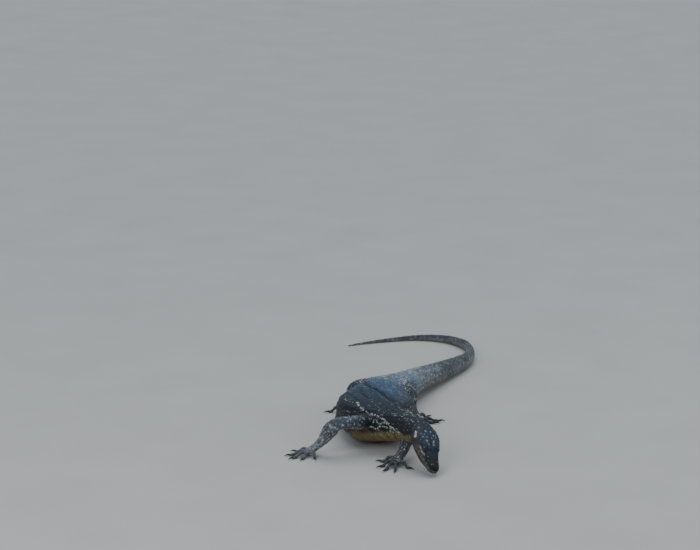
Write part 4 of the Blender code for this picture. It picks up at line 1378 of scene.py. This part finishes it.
def scales_mesh(name, rows, shapes, place, marks, ground, tone):
    """One mesh of many scales."""
    points, faces, unwrap, relief_shades, owner = [], [], [], [], []
    total = 0
    for kind, (shape, shape_faces, relief_shade) in enumerate(shapes):
        mine = np.nonzero(rows[:, KIND] == kind)[0]
        root, out, ahead = rows[mine, None, :3], rows[mine, None, 3:6], rows[mine, None, 6:9]
        across = np.cross(ahead, out)
        width, length, height = (rows[mine, k, None, None] for k in (WIDTH, LENGTH, HEIGHT))
        x, y, z = (shape[None, :, k, None] for k in range(3))
        placed = root + across * x * width + ahead * y * length + out * (z + 0.35 * y) * height
        placed[:, :, 2] = np.maximum(placed[:, :, 2], 0.0)
        points.append(placed.reshape(-1, 3))
        first = total + len(shape) * np.arange(len(mine))
        faces.append((shape_faces[None] + first[:, None, None]).reshape(-1, 3))
        total += len(shape) * len(mine)
        unwrap.append((place[mine, None] + UV_PATCH * shape[None, :, :2]).reshape(-1, 2))
        relief_shades.append(np.tile(relief_shade, len(mine)))
        owner.append(np.repeat(mine, len(shape)))
    points, faces, unwrap = np.vstack(points), np.vstack(faces), np.vstack(unwrap)
    relief_shades, owner = np.concatenate(relief_shades), np.concatenate(owner)
    mesh = bpy.data.meshes.new(name)
    mesh.vertices.add(len(points))
    mesh.vertices.foreach_set("co", points.astype(np.float32).ravel())
    mesh.loops.add(3 * len(faces))
    mesh.loops.foreach_set("vertex_index", faces.astype(np.int32).ravel())
    mesh.polygons.add(len(faces))
    mesh.polygons.foreach_set("loop_start", np.arange(0, 3 * len(faces), 3, dtype=np.int32))
    mesh.update(calc_edges=True)
    mesh.shade_smooth()
    patches = mesh.uv_layers.new(name="OFBake")
    patches.data.foreach_set("uv", unwrap[faces.ravel()].astype(np.float32).ravel())
    store(mesh, "marks", "FLOAT_COLOR", marks[owner])
    store(mesh, "ground", "FLOAT_COLOR", ground[owner])
    store(mesh, "tone", "FLOAT", tone[owner])
    store(mesh, "relief_shade", "FLOAT", relief_shades)
    return mesh


# ---------------------------------------------------------------- eyes and claws
CORNEA_RISE, CORNEA_SPREAD = 0.035, 0.62  # share of the eye's radius, and radians from its middle


def make_eyes(body, material):
    for name, mirrored in (("left_eye", 1), ("right_eye", -1)):
        middle, gaze, _, top = eye_frame(body, mirrored)
        bm = bmesh.new()
        bmesh.ops.create_uvsphere(bm, u_segments=64, v_segments=40, radius=1.0)
        ring = []
        for vertex in bm.verts:
            turn = math.acos(max(-1.0, min(1.0, vertex.co.z)))
            ring.append(turn / (math.pi / 2))
            vertex.co *= EYE_RADIUS * (1 + CORNEA_RISE * math.exp(-((turn / CORNEA_SPREAD) ** 4)))
        facing = Matrix((np.cross(top, gaze), top, gaze)).transposed().to_4x4()
        bm.transform(Matrix.Translation(middle) @ facing)
        bmesh.ops.recalc_face_normals(bm, faces=bm.faces)
        mesh = finished(bm, name + "ball")
        mesh.shade_smooth()
        store(mesh, "ring", "FLOAT", np.array(ring))
        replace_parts(add_piece(name + "ball", mesh, material), name)


def claw_rings(root, ahead, side, lengths=14, sides=12):
    """Rings along a claw that curves down to its point, higher than it is wide."""
    turn, lift = math.radians(CLAW_TURN), math.radians(CLAW_LIFT)
    share = np.linspace(0, 1, lengths)
    at = turn * share
    radius = (CLAW_LENGTH + 0.0012) / turn
    level = unit(np.array([ahead[0], ahead[1], 0.0]))
    out = radius * (np.sin(at - lift) + math.sin(lift))
    drop = radius * (np.cos(at - lift) - math.cos(lift))
    up = np.array([0.0, 0.0, 1.0])
    line = root + out[:, None] * level + drop[:, None] * up
    line[:, 2] += 0.0004
    angle = np.arange(sides) * 2 * math.pi / sides
    rings = []
    for k, part in enumerate(share):
        size = CLAW_ROOT * 1.02 * (1 - part) ** 0.75 + 0.00012
        heading = unit(np.array(level * math.cos(at[k] - lift) - up * math.sin(at[k] - lift)))
        over = np.cross(side, heading)
        over = over if over[2] > 0 else -over
        across = CLAW_WIDE * np.cos(angle)[:, None] * side + CLAW_TALL * np.sin(angle)[:, None] * over
        rings.append(line[k] + size * across)
        rings[-1][:, 2] = np.maximum(rings[-1][:, 2], CLAW_OVER_FLOOR)
    return rings


def make_claws(limbs, material):
    for name, (_, toes) in limbs.items():
        for number, toe in enumerate(toes):
            root = toe.points[-1] - CLAW_BURIED * toe.ahead[-1]
            bm = loft(claw_rings(root, toe.ahead[-1], toe.side[-1]))
            bmesh.ops.triangulate(bm, faces=[face for face in bm.faces if len(face.verts) > 4])
            node = f"{name}_claw_{number + 1}"
            mesh = finished(bm, node + "_horn")
            mesh.shade_smooth()
            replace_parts(add_piece(node + "_horn", mesh, material), node)


# ---------------------------------------------------------------- materials
def connect(tree, socket, value):
    """Feeds a socket from another one, or sets it to a number or a colour."""
    if isinstance(value, bpy.types.NodeSocket):
        tree.links.new(value, socket)
    else:
        socket.default_value = (*value, 1.0) if isinstance(value, tuple) else value


def mixed(tree, factor, first, second, blend="MIX"):
    """The colour socket of a mix; each input is a socket or a plain value."""
    node = tree.nodes.new("ShaderNodeMix")
    node.data_type, node.blend_type = "RGBA", blend
    for slot, value in ((0, factor), (6, first), (7, second)):  # the slots of a mix of colours
        connect(tree, node.inputs[slot], value)
    return node.outputs[2]


def sums(tree, operation, first, second):
    node = tree.nodes.new("ShaderNodeMath")
    node.operation = operation
    connect(tree, node.inputs[0], first)
    connect(tree, node.inputs[1], second)
    return node.outputs[0]


def ramp(tree, value, low, high, to_low, to_high):
    node = tree.nodes.new("ShaderNodeMapRange")
    names = ("Value", "From Min", "From Max", "To Min", "To Max")
    for name, number in zip(names, (value, low, high, to_low, to_high)):
        connect(tree, node.inputs[name], number)
    return node.outputs[0]


def noise(tree, where, scale, detail=3.0):
    node = tree.nodes.new("ShaderNodeTexNoise")
    for name, value in (("Vector", where), ("Scale", scale), ("Detail", detail)):
        connect(tree, node.inputs[name], value)
    return node.outputs["Fac"]


def attribute(tree, name):
    node = tree.nodes.new("ShaderNodeAttribute")
    node.attribute_name = name
    return node


def channels(tree, colour):
    """A colour's three parts."""
    split = tree.nodes.new("ShaderNodeSeparateColor")
    tree.links.new(colour, split.inputs[0])
    return split.outputs


def grey(tree, value):
    """A value as a colour."""
    joined = tree.nodes.new("ShaderNodeCombineColor")
    for k in range(3):
        tree.links.new(value, joined.inputs[k])
    return joined.outputs[0]


def own_place(tree):
    return tree.nodes.new("ShaderNodeTexCoord").outputs["Object"]


def new_material(name):
    """A material with its node tree and its shader."""
    made = bpy.data.materials.new(name)
    made.use_nodes = True
    return made, made.node_tree, made.node_tree.nodes["Principled BSDF"]


def bumped(tree, shader, height, strength, distance):
    """Raises the surface by a height between 0 and 1 times this distance."""
    lift = tree.nodes.new("ShaderNodeBump")
    for name, value in (("Height", height), ("Strength", strength), ("Distance", distance)):
        connect(tree, lift.inputs[name], value)
    tree.links.new(lift.outputs["Normal"], shader.inputs["Normal"])


# the back's own slate blue, partly a painted blue sky reflection
SLATE_AND_SKY_BLUE = (0.016, 0.039, 0.074)
STONE_GREY = (0.044, 0.046, 0.047)
CREAM = (0.80, 0.80, 0.74)
OCHRE = (0.31, 0.235, 0.105)
ORANGE = (0.34, 0.125, 0.030)
# near black for the throat's and belly's dark bars and for the painted shade in creases, nostrils and ears
BAR_AND_SHADE_BLACK = (0.005, 0.005, 0.006)
HIDE_INPUTS = (
    ("Marks", "Color"), ("Ground", "Color"), ("Warm", "Float"), ("Tone", "Float"), ("Relief_shade", "Float"),
)
HIDE_OUTPUTS = (("Colour", "Color"), ("Roughness", "Float"), ("Height", "Float"))
SKIN_TONE, SKIN_RELIEF_SHADE = 0.4, 0.25  # between the scales; the second gives the skin there painted shade


def hide_group():
    """The hide's colour, roughness and fine height from its markings, with painted shade towards the foot of
    each scale and between the scales.
    """
    group = bpy.data.node_groups.new("hide", "ShaderNodeTree")
    for way, sockets in (("INPUT", HIDE_INPUTS), ("OUTPUT", HIDE_OUTPUTS)):
        for name, form in sockets:
            group.interface.new_socket(name, in_out=way, socket_type="NodeSocket" + form)
    given, made = group.nodes.new("NodeGroupInput").outputs, group.nodes.new("NodeGroupOutput").inputs
    where = own_place(group)
    pale, belly, dark = channels(group, given["Marks"])
    light, blue, _ = channels(group, given["Ground"])
    broad, mottle = noise(group, where, 38.0), noise(group, where, 130.0)
    fine = noise(group, where, 420.0, 2.0)

    def times(first, second):
        return sums(group, "MULTIPLY", first, second)

    def around(pattern, low, high):
        """A factor that follows a noise pattern between these."""
        return ramp(group, pattern, 0.3, 0.7, low, high)

    light = times(ramp(group, light, 0, 1, 0, LIGHTEST), around(broad, 0.72, 1.28))
    light = times(light, around(mottle, 0.66, 1.36))
    ground = mixed(group, blue, STONE_GREY, SLATE_AND_SKY_BLUE)
    colour = mixed(group, 1.0, ground, grey(group, light), "MULTIPLY")
    # the marks' colours; the last lays the dark bars and the painted shade of the creases and openings
    for share, paint in ((belly, OCHRE), (pale, CREAM), (given["Warm"], ORANGE), (dark, BAR_AND_SHADE_BLACK)):
        colour = mixed(group, share, colour, paint)
    bright = times(ramp(group, given["Tone"], 0, 1, 0.62, 1.38), around(fine, 0.86, 1.14))
    # painted shade, darker towards the foot of each scale and on the skin between them
    bright = times(bright, ramp(group, given["Relief_shade"], 0, 1, 0.42, 1.0))
    colour = mixed(group, 1.0, colour, grey(group, bright), "MULTIPLY")
    rough = sums(group, "ADD", around(broad, 0.38, 0.52), ramp(group, belly, 0, 1, 0, 0.12))
    group.links.new(colour, made["Colour"])
    group.links.new(rough, made["Roughness"])
    group.links.new(noise(group, where, 1600.0, 2.0), made["Height"])
    return group


def hide_material(name, group, on_scales, bump):
    made, tree, shader = new_material(name)
    hide = tree.nodes.new("ShaderNodeGroup")
    hide.node_tree = group
    marks = attribute(tree, "marks").outputs
    tree.links.new(marks["Color"], hide.inputs["Marks"])
    tree.links.new(marks["Alpha"], hide.inputs["Warm"])
    tree.links.new(attribute(tree, "ground").outputs["Color"], hide.inputs["Ground"])
    tone = attribute(tree, "tone").outputs["Fac"] if on_scales else SKIN_TONE
    relief_shade = attribute(tree, "relief_shade").outputs["Fac"] if on_scales else SKIN_RELIEF_SHADE
    connect(tree, hide.inputs["Tone"], tone)
    connect(tree, hide.inputs["Relief_shade"], relief_shade)
    tree.links.new(hide.outputs["Colour"], shader.inputs["Base Color"])
    tree.links.new(hide.outputs["Roughness"], shader.inputs["Roughness"])
    bumped(tree, shader, hide.outputs["Height"], bump, 0.0003)
    shader.inputs["Specular IOR Level"].default_value = 0.36
    return made


# The eye's colours from its middle outwards, a quarter turn being 1.
EYE_COLOURS = (
    (0.00, (0.003, 0.003, 0.004)), (0.24, (0.004, 0.003, 0.003)),  # pupil
    (0.262, (0.22, 0.125, 0.035)),  # gold ring
    (0.30, (0.050, 0.026, 0.011)), (0.46, (0.022, 0.012, 0.007)),  # iris
    (0.56, (0.008, 0.006, 0.005)), (0.72, (0.012, 0.010, 0.009)),  # rim and white
)


def eye_material():
    """A dark round pupil, a thin gold ring round it and a brown iris, under a clear wet coat."""
    made, tree, shader = new_material("wet_eye")
    colours = tree.nodes.new("ShaderNodeValToRGB")
    stops = colours.color_ramp.elements
    for k, (place, colour) in enumerate(EYE_COLOURS):
        stop = stops[k] if k < 2 else stops.new(place)
        stop.position, stop.color = place, (*colour, 1.0)
    tree.links.new(attribute(tree, "ring").outputs["Fac"], colours.inputs[0])
    fibres = ramp(tree, noise(tree, own_place(tree), 1800.0), 0.3, 0.7, 0.7, 1.35)
    colour = mixed(tree, 1.0, colours.outputs[0], grey(tree, fibres), "MULTIPLY")
    tree.links.new(colour, shader.inputs["Base Color"])
    for name, value in (("Roughness", 0.18), ("Coat Weight", 0.45), ("Coat Roughness", 0.03)):
        shader.inputs[name].default_value = value
    return made


def claw_material():
    """Black-brown horn in streaks, paler where it is worn."""
    made, tree, shader = new_material("claw_horn")
    streak = noise(tree, own_place(tree), 700.0, 4.0)
    colour = mixed(tree, ramp(tree, streak, 0.35, 0.7, 0, 1), (0.012, 0.010, 0.009), (0.060, 0.048, 0.036))
    tree.links.new(colour, shader.inputs["Base Color"])
    tree.links.new(ramp(tree, streak, 0.3, 0.7, 0.24, 0.42), shader.inputs["Roughness"])
    bumped(tree, shader, streak, 0.35, 0.0002)
    return made


def floor_material():
    made, tree, shader = new_material("pale_floor")
    patches = ramp(tree, noise(tree, own_place(tree), 6.0, 4.0), 0.3, 0.7, 0, 1)
    colour = mixed(tree, patches, (0.56, 0.55, 0.53), (0.60, 0.59, 0.57))
    tree.links.new(colour, shader.inputs["Base Color"])
    shader.inputs["Roughness"].default_value = 0.85
    return made


# ---------------------------------------------------------------- floor, camera and lights
FLOOR_HALF = 12.0
CAMERA_AT = (-0.070, -5.055, 1.550)
CAMERA_TILT = 75.66
LENS, SENSOR = 139.57, 36.0
SKY_COLOUR, SKY_STRENGTH = (0.66, 0.82, 1.0), 0.42
MODEL_MIDDLE = Vector((0.0, -0.1, 0.03))


def make_floor():
    bm = bmesh.new()
    bmesh.ops.create_grid(bm, x_segments=1, y_segments=1, size=FLOOR_HALF)
    mesh = finished(bm, "floor")
    mesh.materials.append(floor_material())
    linked("floor", mesh)


def make_camera():
    data = bpy.data.cameras.new("camera")
    data.lens, data.sensor_width, data.clip_end = LENS, SENSOR, 60.0
    camera = linked("camera", data)
    camera.location = CAMERA_AT
    camera.rotation_euler = (math.radians(CAMERA_TILT), 0.0, 0.0)
    bpy.context.scene.camera = camera


def make_lamp(name, kind, at, towards, power, colour):
    """A lamp at this place that faces another; its data, for its size."""
    data = bpy.data.lights.new(name, kind)
    data.energy, data.color = power, colour
    lamp = linked(name, data)
    lamp.location = at
    lamp.rotation_euler = (Vector(towards) - lamp.location).to_track_quat("-Z", "Y").to_euler()
    return data


def make_lights():
    """A pale sky, an even light from far over the back, and two square lamps."""
    world = bpy.data.worlds.new("studio")
    world.use_nodes = True
    sky = world.node_tree.nodes["Background"]
    sky.inputs["Color"].default_value = (*SKY_COLOUR, 1.0)
    sky.inputs["Strength"].default_value = SKY_STRENGTH
    bpy.context.scene.world = world
    overhead = make_lamp("overhead", "SUN", (0.2, 1.2, 2.6), (0.0, 0.0, 0.0), 1.15, (1.0, 0.97, 0.92))
    overhead.angle = math.radians(55.0)
    front = make_lamp("front", "AREA", (-1.4, -2.4, 1.8), MODEL_MIDDLE, 20.0, (1.0, 0.97, 0.93))
    front.size = 1.6
    side = make_lamp("side", "AREA", (2.2, -0.6, 1.2), MODEL_MIDDLE, 6.0, (0.95, 0.98, 1.0))
    side.size = 1.2


def main():
    body = body_tube()
    limbs = {}
    for name, limb in LIMBS.items():
        tube = limb_tube(limb)
        limbs[name] = (tube, toe_tubes(name, limb, tube))
    mesh = make_skin(body, limbs)
    spots = Spots(mesh, body, limbs)
    points = coordinates(mesh)
    own = Owners(points, body, limbs)
    store(mesh, "marks", "FLOAT_COLOR", markings(points, own, body, limbs, spots))
    store(mesh, "ground", "FLOAT_COLOR", ground_and_painted_light(own, limbs))
    group = hide_group()
    skin = add_piece("skin", mesh, hide_material("skin_between_scales", group, False, 0.5))
    limb_nodes = [f"{name.split('_')[0]}_{part}" for name, limb in LIMBS.items() for part in limb["parts"]]
    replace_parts(skin, *BODY_NODES, *limb_nodes)
    coat = place_coat(mesh, body, limbs)
    make_coat(coat, body, limbs, spots, hide_material("scales", group, True, 0.25))
    make_eyes(body, eye_material())
    make_claws(limbs, claw_material())
    make_floor()
    make_camera()
    make_lights()


main()
